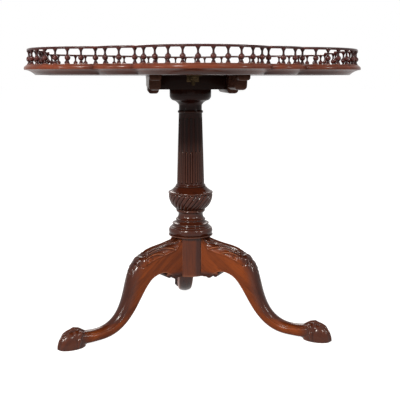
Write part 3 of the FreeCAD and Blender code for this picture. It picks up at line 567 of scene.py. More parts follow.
def mahogany(name, dark, light, polish, worn):
    """Polished mahogany: figure, streaks, pores, dark wax with painted shade in the hollows, and worn edges
    with painted highlights.
    """
    material, tree = blank_material(name)
    grain = mark(tree, "grain", "Vector")
    wear, hollow, patina_and_shade = [mark(tree, kind) for kind in ("wear", "hollow", "patina_and_shade")]
    figure = stretched_noise(tree, grain, (5.0, 42.0, 42.0), 4.0, 0.6, 0.6)
    streaks = stretched_noise(tree, grain, (14.0, 330.0, 330.0), 3.0, 0.6)
    pores = stretched_noise(tree, grain, (55.0, 1500.0, 1500.0), 2.0, 0.5)
    clouds = stretched_noise(tree, grain, (7.0, 9.0, 9.0), 2.0, 0.5)
    blend = calculated(tree, "MULTIPLY_ADD", figure, 0.62, ranged(tree, streaks, 0.0, 1.0, 0.09, 0.31))
    colour = ramp(tree, blend, [
        (0.24, dark), (0.42, between(dark, light, 0.40)), (0.56, between(dark, light, 0.75)), (0.78, light),
    ])
    pore_mask = ranged(tree, pores, 0.60, 0.72, 0.0, 0.65)
    colour = mixed(tree, pore_mask, colour, dimmed(dark, 0.35))
    cloud_mask = ranged(tree, clouds, 0.35, 0.70, 0.0, 0.45)
    colour = mixed(tree, cloud_mask, colour, between(dark, light, 0.2))
    # Darkened by old polish and dirt, and by painted shade where the stored mark stands in for shade
    colour = mixed(tree, patina_and_shade, colour, dimmed(dark, 0.75))
    rubbed = calculated(tree, "MULTIPLY", wear, ranged(tree, patina_and_shade, 0.2, 0.9, 1.0, 0.15))
    rubbed = calculated(tree, "MULTIPLY", rubbed, ranged(tree, clouds, 0.3, 0.7, 0.30, 0.75))
    # Edges lightened by wear and by painted highlight
    colour = mixed(tree, rubbed, colour, worn)
    # Dark wax with painted shade in the hollows
    colour = mixed(tree, ranged(tree, hollow, 0.0, 1.0, 0.0, 0.92), colour, WAX_AND_SHADE)
    height = calculated(tree, "MULTIPLY_ADD", pore_mask, -0.7, streaks)
    rubbed_up = ranged(tree, patina_and_shade, 0.2, 0.65, 0.4 * polish, polish)
    left_dull = ranged(tree, patina_and_shade, 0.80, 0.95, 1.0, 0.35)
    wood = wire(tree, "ShaderNodeBsdfPrincipled", {
        "Base Color": colour,
        "Roughness": ranged(tree, streaks, 0.3, 0.7, 0.24, 0.36),
        "Normal": bumped(tree, height, 0.10, 0.0003),
        "Specular IOR Level": 0.02,
        "Coat Weight": calculated(tree, "MULTIPLY", rubbed_up, left_dull),
        "Coat Roughness": 0.18,
        "Coat IOR": 1.6,
        "Coat Normal": bumped(tree, clouds, 0.03, 0.0010),
    })
    wire(tree, "ShaderNodeOutputMaterial", {"Surface": wood["BSDF"]})
    return material


def aged_brass(name, colour):
    """Brass dulled by age: brown bloom in patches, brighter on worn edges."""
    material, tree = blank_material(name)
    place = wire(tree, "ShaderNodeTexCoord")["Object"]
    bloom = stretched_noise(tree, place, (160.0, 160.0, 160.0), 5.0, 0.6)
    file_marks = stretched_noise(tree, place, (2600.0, 240.0, 2600.0), 2.0, 0.5)
    tint = ramp(tree, bloom, [(0.36, dimmed(colour, 0.22)), (0.52, dimmed(colour, 0.6)), (0.68, colour)])
    metal = wire(tree, "ShaderNodeBsdfPrincipled", {
        "Base Color": mixed(tree, mark(tree, "wear"), tint, tuple(min(1.0, 1.9 * c) for c in colour)),
        "Metallic": 1.0,
        "Roughness": ranged(tree, bloom, 0.3, 0.7, 0.52, 0.30),
        "Normal": bumped(tree, file_marks, 0.15, 0.0002),
    })
    wire(tree, "ShaderNodeOutputMaterial", {"Surface": metal["BSDF"]})
    return material


def finish_of(slot):
    """The finish of a material slot, made once."""
    name = "finish_" + slot
    known = bpy.data.materials.get(name)
    if known:
        return known
    look = finish()
    if slot == "brass":
        return aged_brass(name, tuple(look.brass))
    dark, light, share, worn = {
        "mahogany_stand": (look.stand_dark, look.stand_light, 1.0, WORN_AND_HIGHLIGHT_WOOD),
        # The underside wood's dark is taken most of the way to black, painted shade for the block under the
        # board
        "mahogany_under": (between(look.stand_dark, BLACK, 0.75), look.under_painted_light, 0.15, WORN_AND_HIGHLIGHT_UNDER),
        "mahogany_gallery": (look.gallery_dark, look.gallery_light, 2.1, WORN_AND_HIGHLIGHT_GALLERY),
        "mahogany_top": (look.top_dark, look.top_light, 1.4, WORN_AND_HIGHLIGHT_WOOD),
    }[slot]
    return mahogany(name, tuple(dark), tuple(light), share * look.polish, worn)


def grain_along(axis, shift):
    """Wood coordinates with the grain along an axis, shifted so that no two pieces share a plank."""
    order = {"x": (0, 1, 2), "y": (1, 2, 0), "z": (2, 0, 1)}[axis]
    return lambda points: points[:, order] + np.array(shift)


# Column

DRUM_RADIUS = 48.0
DRUM_STEP = 6.0
URN_ROWS = 30
GADROON_HEAD = 5.0
COLLAR_FOOT = 55.0
FLUTE_DEPTH = 3.0
FLUTE_POINT = 0.004
REED_SINK = 0.2
SHAFT_JOIN = 0.4
CURL_ANGLES = (88, 72, 55, 38, 20, 0)
REED_ANGLES = (0, 25, 48, 68, 84)

# Old polish with painted shade in places, 0 on clean light wood to 1 on wood gone dark or shaded. A pair
# says where it changes and over what run.
DRUM_POLISH = 0.56
# Painted shade: the right of the drum's front is darkened as if it stood in shade
DRUM_SHADE = 0.26
SHADE_FROM = (8.0, 6.0)
SHAFT_POLISH = 0.80
SHAFT_FROM = (232.0, 12.0)
# Painted shade with some old polish: the upper shaft and the head darken towards the board, where its
# shadow falls
UPPER_SHAFT_POLISH_AND_SHADE = 0.06
UPPER_SHAFT_FROM = (350.0, 20.0)
HEAD_POLISH_AND_SHADE = 0.16
HEAD_FROM = (455.0, 40.0)


def urn_rows():
    """Rings of the urn: radius, height and turn, with gadroons that end in rounded heads under the rim."""
    depth = sizes().gadroon_depth / MM
    foot = COLUMN_FOOT + sum(rise for _, rise, _ in BASE_MOULDINGS)
    rim = foot + URN_HEIGHT
    even = full_turn(TURNING_COLUMNS)
    phase = (np.arange(TURNING_COLUMNS) * sizes().gadroon_count / TURNING_COLUMNS) % 1.0
    across = np.abs(2.0 * phase - 1.0)
    rows = []
    for radius, height in bowed((BASE_MOULDINGS[-1][0], foot), (URN_RADIUS, rim), URN_SWELL, URN_ROWS):
        share = (height - foot) / URN_HEIGHT
        head = max(1.0 - (rim - height) / GADROON_HEAD, 0.0)
        bulge = np.sqrt(np.clip(1.0 - across ** 2 - head ** 2, 0.0, 1.0))
        cut = depth * radius / URN_RADIUS
        rows.append((radius - cut + cut * bulge, height, even + sizes().gadroon_twist * share))
    return rows


def shaft_row(radius, height, bottom, top, reed_top, turn):
    """One ring of the fluted shaft, with points on the arrises and on the reeds."""
    half = FLUTE_COLUMNS[-1]
    past = max(bottom - height, height - top, 0.0)
    reed_past = max(bottom - height, height - reed_top, 0.0)
    narrow = math.sqrt(max(1.0 - (past / half) ** 2, FLUTE_POINT))
    offsets = [offset * narrow for offset in FLUTE_COLUMNS]
    radii = []
    for across in offsets:
        hollow = math.sqrt(max(FLUTE_RADIUS ** 2 - across ** 2 - past ** 2, 0.0))
        floor = min(radius + FLUTE_RADIUS - FLUTE_DEPTH - hollow, radius)
        room = REED_RADIUS ** 2 - across ** 2 - reed_past ** 2
        if room > 0.0:
            floor = max(floor, radius - REED_RADIUS - REED_SINK + math.sqrt(room))
        radii.append(floor)
    land = 2 * math.pi * radius / FLUTE_COUNT - 2 * half * narrow
    spare = TURNING_COLUMNS // FLUTE_COUNT - len(FLUTE_COLUMNS)
    for i in range(1, spare + 1):
        offsets.append(half * narrow + land * i / (spare + 1))
        radii.append(radius)
    angles = [turn + step + offset / radius for step in full_turn(FLUTE_COUNT) for offset in offsets]
    return np.array(radii * FLUTE_COUNT), height, np.array(angles)


def shaft_rows(foot, foot_radius, turn):
    """Rings of the shaft between its two ends."""
    bottom = foot + FLUTE_MARGIN
    top = SHAFT_TOP - FLUTE_MARGIN
    reed_top = foot + REED_SHARE * (SHAFT_TOP - foot)
    curl = [FLUTE_COLUMNS[-1] * math.sin(math.radians(a)) for a in CURL_ANGLES]
    heights = [foot + SHAFT_JOIN] + [bottom - c for c in curl]
    heights += list(np.linspace(bottom, reed_top, 12)[1:-1])
    heights += [reed_top + REED_RADIUS * math.sin(math.radians(a)) for a in REED_ANGLES]
    heights += list(np.linspace(reed_top + REED_RADIUS + 1.0, top, 10)[:-1])
    heights += [top + c for c in reversed(curl)] + [SHAFT_TOP - SHAFT_JOIN]
    rows = []
    for height in heights:
        share = (height - foot) / (SHAFT_TOP - foot)
        radius = foot_radius + (SHAFT_TOP_RADIUS - foot_radius) * share
        rows.append(shaft_row(radius, height, bottom, top, reed_top, turn))
    return rows


def column_grid():
    """Rings of the whole column."""
    soft = sizes().edge_softness / MM
    even = full_turn(TURNING_COLUMNS)
    base = stepped(eased(moulded((DRUM_RADIUS, COLUMN_FOOT), BASE_MOULDINGS), soft), DRUM_STEP)
    rows = [(r, z, even) for r, z in base] + urn_rows()
    twist = sizes().gadroon_twist
    flute_step = 2 * math.pi / FLUTE_COUNT
    whole = math.ceil(twist / flute_step) * flute_step
    start = even[FLUTE_COLUMNS.index(0.0)]
    collar = eased(moulded((COLLAR_FOOT, rows[-1][1]), COLLAR_MOULDINGS), soft)
    for i, (r, z) in enumerate(collar):
        rows.append((r, z, even + twist + (whole - twist - start) * i / (len(collar) - 1)))
    foot_radius, foot = collar[-1]
    rows += shaft_rows(foot, foot_radius, whole)
    capital = eased(moulded((SHAFT_TOP_RADIUS, SHAFT_TOP), CAPITAL_MOULDINGS), soft)
    rows += [(r, z, even + whole - start) for r, z in capital]
    return np.array([level_ring(*row) for row in rows])


def column_polish_and_shade(places):
    """Old polish on the column, with painted shade: a paler drum shaded on the right of its front, and a
    shaft and head that darken towards the board with old polish and painted shade.
    """
    x, y, z = places.T / MM
    # Painted shade on the right of the drum's front
    drum = DRUM_POLISH + DRUM_SHADE * risen(x, *SHADE_FROM) * (y < 0.0)
    head = risen(z, *HEAD_FROM)
    # Painted shade under the board, with old polish, darkens the upper shaft and the head
    rubbed = risen(z, *UPPER_SHAFT_FROM) * (1.0 - head)
    shaft = (SHAFT_POLISH - drum) * risen(z, *SHAFT_FROM)
    return drum + shaft + UPPER_SHAFT_POLISH_AND_SHADE * rubbed + HEAD_POLISH_AND_SHADE * head


class TeaTableColumn(Operator):
    """Turn and carve the column: drum, gadrooned urn, stop-fluted shaft and capital"""

    bl_idname = "tea_table.column"
    bl_label = "Column"

    def execute(self, context):
        points, faces = tube(column_grid())
        new_piece("fluted_column", points, faces, "stand", "mahogany_stand", "column",
                  grain_along("z", (0.3, 0.1, 0.2)), column_polish_and_shade, 50.0)
        return {"FINISHED"}


# Legs

CROWN_COLUMNS = 84
SIDE_COLUMNS = 16
KNEE_ROWS = 190
SHIN_ROWS = 91
SHIN_START = 7.0

# Section of the leg along its stations: where it thins, swell of its sides, height of its crown
LEG_THINS = (4.0, 6.0)
KNEE_SWELL = 0.5
ANKLE_SWELL = 4.3
ROOT_CROWN = 2.0
KNEE_CROWN = 24.0
ANKLE_CROWN = 6.0
CROWN_FALLS = (5.0, 5.5)

# Leaf on the knee, in millimetres along the crest: where each rib leaves the arris, and how near the
# crest it ends as a share of the half width
LEAF_RIBS = [(-32.0, 0.12), (-8.0, 0.26), (20.0, 0.43), (54.0, 0.62)]
RIB_SWEEP = 52.0
RIB_RISE = 6.0
RIB_WIDTH = 0.065
RIB_HEIGHT = 0.75
RIB_HOLLOW = 0.50
LEAF_END = 112.0
LEAF_TIP = 208.0
ARRIS_BEAD = 0.9

# Rounded ends of the leaf's lobes on the knee: along the crest, share of the half width, radius
LEAF_LOBES = [(113.0, 0.80, 11.5), (124.0, 0.50, 9.5), (131.0, 0.18, 8.5)]
GROOVE_DEPTH = 0.45
GROOVE_RADIUS = 1.45
GROOVE_WIDTH = 0.28

# Limits of the leaf, each with the run over which it fades, and the pendant leaf below its lobes
BLADE_FROM = (2.0, 8.0)
BLADE_TO = (LEAF_END + 8.0, 16.0)
BLADE_EDGE = (0.95, 0.10)
LOBE_EDGE = (1.02, 0.05)
BEAD_TO = (LEAF_END + 12.0, 40.0)
PENDANT_FROM = (LEAF_END + 16.0, 10.0)
PENDANT_START = LEAF_END + 14.0
PENDANT_HALF = 0.62
LEAFLET_LEAN = 34.0
LEAFLET_STEP = 15.0

# A toe swells at a knuckle and thins past it: swell, stations past the knuckle, run
KNUCKLE_SWELLS = [(0.20, 0.0, 0.32), (-0.10, 0.75, 0.3)]

# Grain of the legs, which leans down from the drum to the foot
GRAIN_LEAN = math.radians(38.0)

# Old polish on the legs: edges stay clean and faces are dark; the root and the flank are darkened as
# painted shade; the feet are dirty, and the rear foot darker still as painted shade
EDGE_POLISH = 0.06
FACE_POLISH = 0.70
ROOT_SHADE = 0.92
FLANK_SHADE = 0.84
FOOT_FROM = (296.0, 40.0)
FACE_HALF = 25.0
FACE_LOSS = 7.0
FACE_NARROWS = (180.0, 80.0)
FACE_FADE = 11.0
ROOT_UP_TO = (152.0, 12.0)
ROOT_OUT_TO = (98.0, 12.0)
FLANK_DEPTH = (38.0, 36.0)
FLANK_FROM = (105.0, 40.0)
FLANK_TO = (305.0, 50.0)


def leg_frame(samples):
    """Crest, underside, half width, swell and crown of the leg at fractional stations."""
    thinning = risen(samples, *LEG_THINS)
    half = LEG_WIDTH / 2 + (ANKLE_WIDTH - LEG_WIDTH) / 2 * thinning
    swell = KNEE_SWELL + (ANKLE_SWELL - KNEE_SWELL) * thinning
    crown = ROOT_CROWN + (KNEE_CROWN - ROOT_CROWN) * smooth(samples)
    crown = crown + (ANKLE_CROWN - crown) * risen(samples, *CROWN_FALLS)
    return spline(LEG_LINES, samples), half, swell, crown


def leaf_relief(along, across, width):
    """Height of the knee's acanthus leaf, as a share: along the crest, across from -1 to 1, half width."""
    side = np.abs(across)
    ribs = np.zeros_like(side)
    for start, end in LEAF_RIBS:
        sweep = np.clip((along - start) / RIB_SWEEP, 0.0, 1.0)
        line = 1.0 - (1.0 - end) * (1.0 - (1.0 - sweep) ** 2)
        ribs = np.maximum(ribs, risen(along, start, RIB_RISE) * np.exp(-((side - line) / RIB_WIDTH) ** 2))
    blade = fallen(side, *BLADE_EDGE) * fallen(along, *BLADE_TO) * risen(along, *BLADE_FROM)
    height = blade * (RIB_HEIGHT * ribs - RIB_HOLLOW * (1.0 - ribs))
    for place, share, radius in LEAF_LOBES:
        reach = np.hypot((along - place) / radius, (side - share) * width / radius)
        groove = GROOVE_DEPTH * np.exp(-((reach - GROOVE_RADIUS) / GROOVE_WIDTH) ** 2)
        height = height + fallen(side, *LOBE_EDGE) * (np.exp(-reach ** 2) - groove)
    fall = np.clip((along - PENDANT_START) / (LEAF_TIP - PENDANT_START), 0.0, 1.0)
    leaflet = np.sin(math.pi * (((along - LEAFLET_LEAN * side) / LEAFLET_STEP) % 1.0))
    edge = PENDANT_HALF * (1.0 - fall) ** 0.8 * (0.72 + 0.28 * leaflet)
    pendant = fallen(side, edge, 0.08) * risen(along, *PENDANT_FROM)
    rib = np.exp(-(side / 0.09) ** 2)
    return height + pendant * (
        0.25 + 0.55 * leaflet * smooth(side / 0.2) + 0.55 * rib * (0.6 + 0.4 * leaflet))


def leg_grid():
    """Rings of one leg along +X, with the leaf carved on its knee."""
    last = len(LEG_LINES) - 1.0
    knee = np.linspace(0.0, SHIN_START, KNEE_ROWS)
    lines, halves, swells, crowns = leg_frame(
        np.concatenate((knee, np.linspace(SHIN_START, last, SHIN_ROWS)[1:])))
    steps = np.hypot(*np.diff(lines[:, :2], axis=0).T)
    along = np.concatenate(([0.0], np.cumsum(steps)))
    relief = sizes().leaf_relief / MM
    share = 1.0 - 2.0 * np.arange(2, CROWN_COLUMNS - 1) / CROWN_COLUMNS
    bend = np.array((0.0, 0.25, 0.5, 0.75))[:, None]
    grid = []
    for i, line in enumerate(lines):
        top = np.array((line[0], 0.0, line[1]))
        low = np.array((line[2], 0.0, line[3]))
        up = top - low
        half = np.linalg.norm(up) / 2
        up = up / (2 * half)
        corner = halves[i] - swells[i]
        high = half - crowns[i]
        foot = -half + swells[i]
        crown = bowed((corner, high), (-corner, high), crowns[i], CROWN_COLUMNS)[1:-2]
        tip = np.array((corner, high))
        arris = (1 - bend) ** 2 * (tip - (0.0, 1.0)) + 2 * bend * (1 - bend) * tip + bend ** 2 * crown[0]
        bead = ARRIS_BEAD * fallen(along[i], *BEAD_TO)
        arris = arris + bead * np.sin(math.pi * bend) * np.array((0.6, 0.8))
        flank = bowed((corner, foot), (corner, high), swells[i], SIDE_COLUMNS)[:-1]
        right = np.concatenate((flank, arris))
        base = bowed((-corner, foot), (corner, foot), swells[i], SIDE_COLUMNS)
        ring = np.concatenate((right, crown, right[::-1] * (-1.0, 1.0), [(-corner, foot)], base))
        flat = np.roll(ring, -1, 0) - np.roll(ring, 1, 0)
        out = np.stack((flat[:, 1], -flat[:, 0]), -1)
        out /= np.maximum(np.linalg.norm(out, axis=1, keepdims=True), 1e-9)
        carved = leaf_relief(np.full(len(share), along[i]), share, 1.1 * halves[i]) * relief
        face = slice(len(right), len(right) + len(share))
        ring[face] += out[face] * carved[:, None]
        grid.append((top + low) / 2 + ring[:, 1:] * up + ring[:, :1] * np.array((0.0, 1.0, 0.0)))
    return np.array(grid)


def rod(path, radii, count=20):
    """Closed round rod along a path in space."""
    heading = np.gradient(path, axis=0)
    heading /= np.linalg.norm(heading, axis=1, keepdims=True)
    turn = full_turn(count)[:, None]
    grid = []
    for place, ahead, radius in zip(path, heading, radii):
        guide = np.array((0.0, 1.0, 0.0)) if abs(ahead[1]) < 0.9 else np.array((1.0, 0.0, 0.0))
        first = np.cross(guide, ahead)
        first /= np.linalg.norm(first)
        second = np.cross(ahead, first)
        grid.append(place + radius * (np.cos(turn) * first + np.sin(turn) * second))
    return tube(np.array(grid))


def toe(stations, side, knuckles):
    """One toe with swollen knuckles and a pointed claw."""
    samples = np.linspace(0.0, len(stations) - 1.0, 44)
    values = spline(stations, samples)
    place = np.array(BALL_PLACE) + values[:, :3] * np.array(BALL_HALF) * np.array((1.0, side, 1.0))
    radii = np.maximum(values[:, 3], 0.1) * TOE_RADIUS
    for knuckle in knuckles:
        for swell, past, run in KNUCKLE_SWELLS:
            radii = radii * (1.0 + swell * np.exp(-((samples - knuckle - past) / run) ** 2))
    return rod(place, radii)


def ball(centre, half, rows=24, columns=36):
    """Closed ellipsoid."""
    turn = full_turn(columns)
    grid = []
    for i in range(1, rows):
        rise = math.pi * (i / rows - 0.5)
        grid.append(np.array(centre) + level_ring(math.cos(rise), math.sin(rise), turn) * np.array(half))
    return tube(np.array(grid))


def foot_shape():
    """Claw-and-ball foot as one carved skin, in millimetres."""
    crest_x, crest_z, under_x, under_z = LEG_LINES[-1]
    wrist = ((crest_x + under_x) / 2, 0.0, (crest_z + under_z) / 2)
    tall = (crest_z - under_z) / 2 + 2.0
    points, faces = joined([
        ball(wrist, (WRIST_HALF, WRIST_HALF, tall)), ball(BALL_PLACE, BALL_HALF),
        toe(FRONT_TOE, 1.0, FRONT_KNUCKLES), toe(SIDE_TOE, 1.0, SIDE_KNUCKLES),
        toe(SIDE_TOE, -1.0, SIDE_KNUCKLES), toe(HEEL_TOE, 1.0, HEEL_KNUCKLES),
    ])
    blank = helper_object("foot_blank", points * MM, faces)
    link(blank)
    remesh = blank.modifiers.new("carved", "REMESH")
    remesh.mode = "VOXEL"
    remesh.voxel_size = sizes().foot_detail
    ease = blank.modifiers.new("eased", "SMOOTH")
    ease.factor = 0.5
    ease.iterations = 2
    depsgraph = bpy.context.evaluated_depsgraph_get()
    carved = bpy.data.meshes.new_from_object(blank.evaluated_get(depsgraph))
    points = read_points(carved) / MM
    points[:, 2] = np.maximum(points[:, 2], 0.0)
    faces = [tuple(polygon.vertices) for polygon in carved.polygons]
    discard(blank)
    bpy.data.meshes.remove(carved)
    return points, faces


def root_roll(radius, out, up, half):
    """Roll across the leg's lower edge, with eased ends."""
    ends = [(radius - ROLL_EASE, -half), (radius - 0.3 * ROLL_EASE, -half + 0.3 * ROLL_EASE),
            (radius, -half + ROLL_EASE)]
    ends += [(r, -y) for r, y in reversed(ends)]
    turn = full_turn(40)
    grid = [np.stack((out + r * np.cos(turn), np.full(len(turn), y), up + r * np.sin(turn)), -1)
            for r, y in ends]
    return tube(np.array(grid))


def leg_plank(local, number):
    """Wood coordinates of a leg along +X, each leg in a plank of its own."""
    c, s = math.cos(GRAIN_LEAN), math.sin(GRAIN_LEAN)
    x, y, z = local.T
    return np.stack((x * c - z * s + 1.7 * number, y + 0.4 * number, x * s + z * c), -1)


def leg_polish_and_shade(local, crest, foot_dirt_and_shade):
    """Old polish and painted shade on a leg along +X, from the line of its crest and the darkening of its
    foot.
    """
    x, y, z = local.T / MM
    half = FACE_HALF - FACE_LOSS * risen(x, *FACE_NARROWS)
    face = EDGE_POLISH + FACE_POLISH * fallen(np.abs(y), half, FACE_FADE)
    # Painted shade under the leg's root, by the drum
    root = fallen(z, *ROOT_UP_TO) * fallen(x, *ROOT_OUT_TO)
    depth = np.interp(z, crest[::-1, 1], crest[::-1, 0]) - x
    # Painted shade on the flank below the crest, along the shin
    flank = fallen(depth, *FLANK_DEPTH) * (risen(x, *FLANK_FROM) * fallen(x, *FLANK_TO))
    return np.max((face, foot_dirt_and_shade * risen(x, *FOOT_FROM), ROOT_SHADE * root, FLANK_SHADE * flank), axis=0)


class TeaTableLegs(Operator):
    """Carve the three cabriole legs with leaf knees and claw-and-ball feet"""

    bl_idname = "tea_table.legs"
    bl_label = "Legs"

    def execute(self, context):
        points, faces = joined([tube(leg_grid()), foot_shape()] + [root_roll(*roll) for roll in ROOT_ROLLS])
        crest = spline(LEG_LINES, np.linspace(0.0, len(LEG_LINES) - 1.0, 120))[:, :2]
        for number, (node, turn, foot_dirt_and_shade) in enumerate(LEGS):
            new_piece(
                "carved_" + node, turned_about(points, turn), faces, "stand", "mahogany_stand", node,
                lambda places: leg_plank(turned_about(places, -turn), number),
                lambda places: leg_polish_and_shade(turned_about(places, -turn), crest, foot_dirt_and_shade), 48.0)
        return {"FINISHED"}


# Top

SMALL_TURN = math.radians(LOBE_STEP / 2)
SMALL_PLACE = SMALL_CENTRE * np.array((math.cos(SMALL_TURN), math.sin(SMALL_TURN)))
LARGE_STEPS = 26
SMALL_STEPS = 10

# Edge of the board: offsets from the gallery line, and heights
BOARD_INNER = -15.0
EDGE_FOOT = -13.0
EDGE_HOLLOW = 2.6
NOSE = 12.0
NOSE_BOTTOM = 663.0
NOSE_TOP = 664.0
LIP = 7.0
LIP_TOP = 672.5
LIP_SWELL = 2.0
# Painted shade: the board darkens along its underside
UNDERSIDE_SHADE = 0.55

# Rails: half width, height of the flat side, old polish, and the kinds with their steps and centres
RAIL_HALF = 4.25
RAIL_SIDE = 3.2
RAIL_POLISH = 0.1
RAIL_KINDS = [("lobe", 30, (LOBE_CENTRE, 0.0)), ("small", 12, SMALL_PLACE)]


def cusp(offset):
    """Where the large lobe on +X meets the small lobe to its left, at an offset from the gallery line."""
    first = np.array((LOBE_CENTRE, 0.0))
    gap = float(np.hypot(*(SMALL_PLACE - first)))
    big = LOBE_RADIUS + offset
    small = SMALL_RADIUS + offset
    along = (big ** 2 - small ** 2 + gap ** 2) / (2 * gap)
    out = math.sqrt(big ** 2 - along ** 2)
    unit = (SMALL_PLACE - first) / gap
    return first + unit * along + np.array((unit[1], -unit[0])) * out


def half_turns(offset):
    """Half turns of the large and the small lobe from cusp to cusp, at an offset."""
    corner = cusp(offset)
    large = math.atan2(corner[1], corner[0] - LOBE_CENTRE)
    return large, SMALL_TURN - math.atan2(corner[1] - SMALL_PLACE[1], corner[0] - SMALL_PLACE[0])


def lobe_arcs(offset, large_count, small_count):
    """Points of the large lobe on +X from cusp to cusp, and of the small lobe to its left, at an offset."""
    large_half, small_half = half_turns(offset)
    turns = np.linspace(-large_half, large_half, large_count + 1)
    radius = LOBE_RADIUS + offset
    large = np.stack((LOBE_CENTRE + radius * np.cos(turns), radius * np.sin(turns)), -1)
    turns = SMALL_TURN + np.linspace(-small_half, small_half, small_count + 1)
    radius = SMALL_RADIUS + offset
    return large, SMALL_PLACE + radius * np.stack((np.cos(turns), np.sin(turns)), -1)


def lobed_ring(offset, height):
    """Closed ring round the top at an offset and a height."""
    large, small = lobe_arcs(offset, LARGE_STEPS, SMALL_STEPS)
    flat = np.concatenate((large[:-1], small[:-1]))
    part = np.concatenate((flat, np.full((len(flat), 1), height)), 1)
    return np.concatenate([turned_about(part, FRONT + i * LOBE_STEP) for i in range(LOBE_COUNT)])


class TeaTableTopBoard(Operator):
    """Shape the lobed board with its moulded edge, mitred at the cusps"""

    bl_idname = "tea_table.top_board"
    bl_label = "Top board"

    def execute(self, context):
        edge = [np.array((BOARD_INNER, BOARD_BOTTOM)), np.array((EDGE_FOOT, BOARD_BOTTOM))]
        edge += bowed(edge[-1], (NOSE, NOSE_BOTTOM), -EDGE_HOLLOW, 10)
        edge += bowed(edge[-1], (NOSE, NOSE_TOP), 0.0, 1)
        edge += bowed(edge[-1], (LIP, LIP_TOP), LIP_SWELL, 8)
        edge += [np.array((LIP, BOARD_TOP)), np.array((BOARD_INNER, BOARD_TOP))]
        rings = [lobed_ring(*place) for place in eased(edge, sizes().edge_softness / MM)]
        inward = np.array((0.5, 0.5, 1.0))
        points, faces = tube(np.array([rings[0] * inward] + rings + [rings[-1] * inward]))
        new_piece(
            "lobed_board", points, faces, "top", "mahogany_top", "top_board",
            grain_along("x", (0.0, 0.6, 0.2)),
            # Painted shade on the underside of the board
            lambda places: UNDERSIDE_SHADE * fallen(places[:, 2] / MM, BOARD_BOTTOM + 8.0, 6.0), 30.0)
        return {"FINISHED"}


def bent_grain(local, centre, shift):
    """Wood coordinates of a rail bent about a lobe's centre."""
    x = local[:, 0] - centre[0] * MM
    y = local[:, 1] - centre[1] * MM
    reach = np.hypot(x, y)
    return np.stack((np.arctan2(y, x) * reach + shift, reach, local[:, 2]), -1)


class TeaTableRails(Operator):
    """Bend the gallery rails, one to each lobe, with mitred ends"""

    bl_idname = "tea_table.rails"
    bl_label = "Gallery rails"

    def execute(self, context):
        shoulder = RAIL_BOTTOM + RAIL_SIDE
        section = [np.array((-RAIL_HALF, shoulder)), np.array((-RAIL_HALF, RAIL_BOTTOM)),
                   np.array((RAIL_HALF, RAIL_BOTTOM)), np.array((RAIL_HALF, shoulder))]
        section += bowed(section[-1], (-RAIL_HALF, shoulder), TABLE_TOP - shoulder, 10)
        section = eased(section, sizes().edge_softness / MM)[:-1]
        for i in range(LOBE_COUNT):
            turn = FRONT + i * LOBE_STEP
            for pick, (kind, count, centre) in enumerate(RAIL_KINDS):
                lines = [lobe_arcs(offset, count, count)[pick] for offset, _ in section]
                grid = [[(*line[k], height) for line, (_, height) in zip(lines, section)]
                        for k in range(count + 1)]
                points, faces = tube(np.array(grid))
                node = "rail_%s_%d" % (kind, i + 1)
                new_piece(
                    "gallery_" + node, turned_about(points, turn), faces, "top", "mahogany_gallery", node,
                    lambda places: bent_grain(turned_about(places, -turn), centre, i + 0.5 * pick),
                    RAIL_POLISH, 40.0)
        return {"FINISHED"}


# Spindles and screws by node trees

NO_SHIFT = (0.0, 0.0, 0.0)
SPINDLE_SEED = 7
SPINDLE_COLUMNS = 14
SPINDLE_POLISH = 0.15

# Spindle: radius and height above the board
SPINDLE_OUTLINE = [
    (5.0, 0.0), (5.0, 1.6), (4.5, 2.1), (3.2, 5.0), (2.5, 7.2), (4.4, 8.5), (5.9, 10.7), (6.3, 13.0),
    (5.9, 15.3), (4.6, 17.3), (2.9, 18.6), (2.4, 20.6), (2.2, 24.0), (2.45, 26.0), (3.0, 27.6),
    (3.9, 29.3), (5.0, 30.6), (5.0, 31.5),
]


def new_tree(name, inputs):
    """Node tree with a geometry output, and the sockets of its named inputs."""
    tree = bpy.data.node_groups.new(name, "GeometryNodeTree")
    tree.interface.new_socket("Geometry", in_out="OUTPUT", socket_type="NodeSocketGeometry")
    for label, kind in inputs.items():
        tree.interface.new_socket(label, in_out="INPUT", socket_type="NodeSocket" + kind)
    return tree, wire(tree, "NodeGroupInput")


def end_tree(tree, geometry, slot):
    """End a node tree with real meshes in the finish of a material slot."""
    real = wire(tree, "GeometryNodeRealizeInstances", {0: geometry})[0]
    dressed = wire(tree, "GeometryNodeSetMaterial", {"Geometry": real, "Material": finish_of(slot)})[0]
    wire(tree, "NodeGroupOutput", {0: dressed})


def any_turn(tree, most, seed):
    """Random turn about the upright axis, up to an angle."""
    return wire(tree, "FunctionNodeRandomValue", {1: (0.0, 0.0, most), "Seed": seed},
                data_type="FLOAT_VECTOR")[0]


def grown(name, tree, values):
    """Run a node tree with its inputs set, and give the plain mesh it makes."""
    carrier = bpy.data.objects.new(name, bpy.data.meshes.new(name))
    modifier = carrier.modifiers.new(name, "NODES")
    modifier.node_group = tree
    for socket in tree.interface.items_tree:
        if socket.in_out == "INPUT":
            modifier[socket.identifier] = values[socket.name]
    link(carrier)
    depsgraph = bpy.context.evaluated_depsgraph_get()
    mesh = bpy.data.meshes.new_from_object(carrier.evaluated_get(depsgraph))
    carrier.modifiers.remove(modifier)
    discard(carrier)
    return mesh


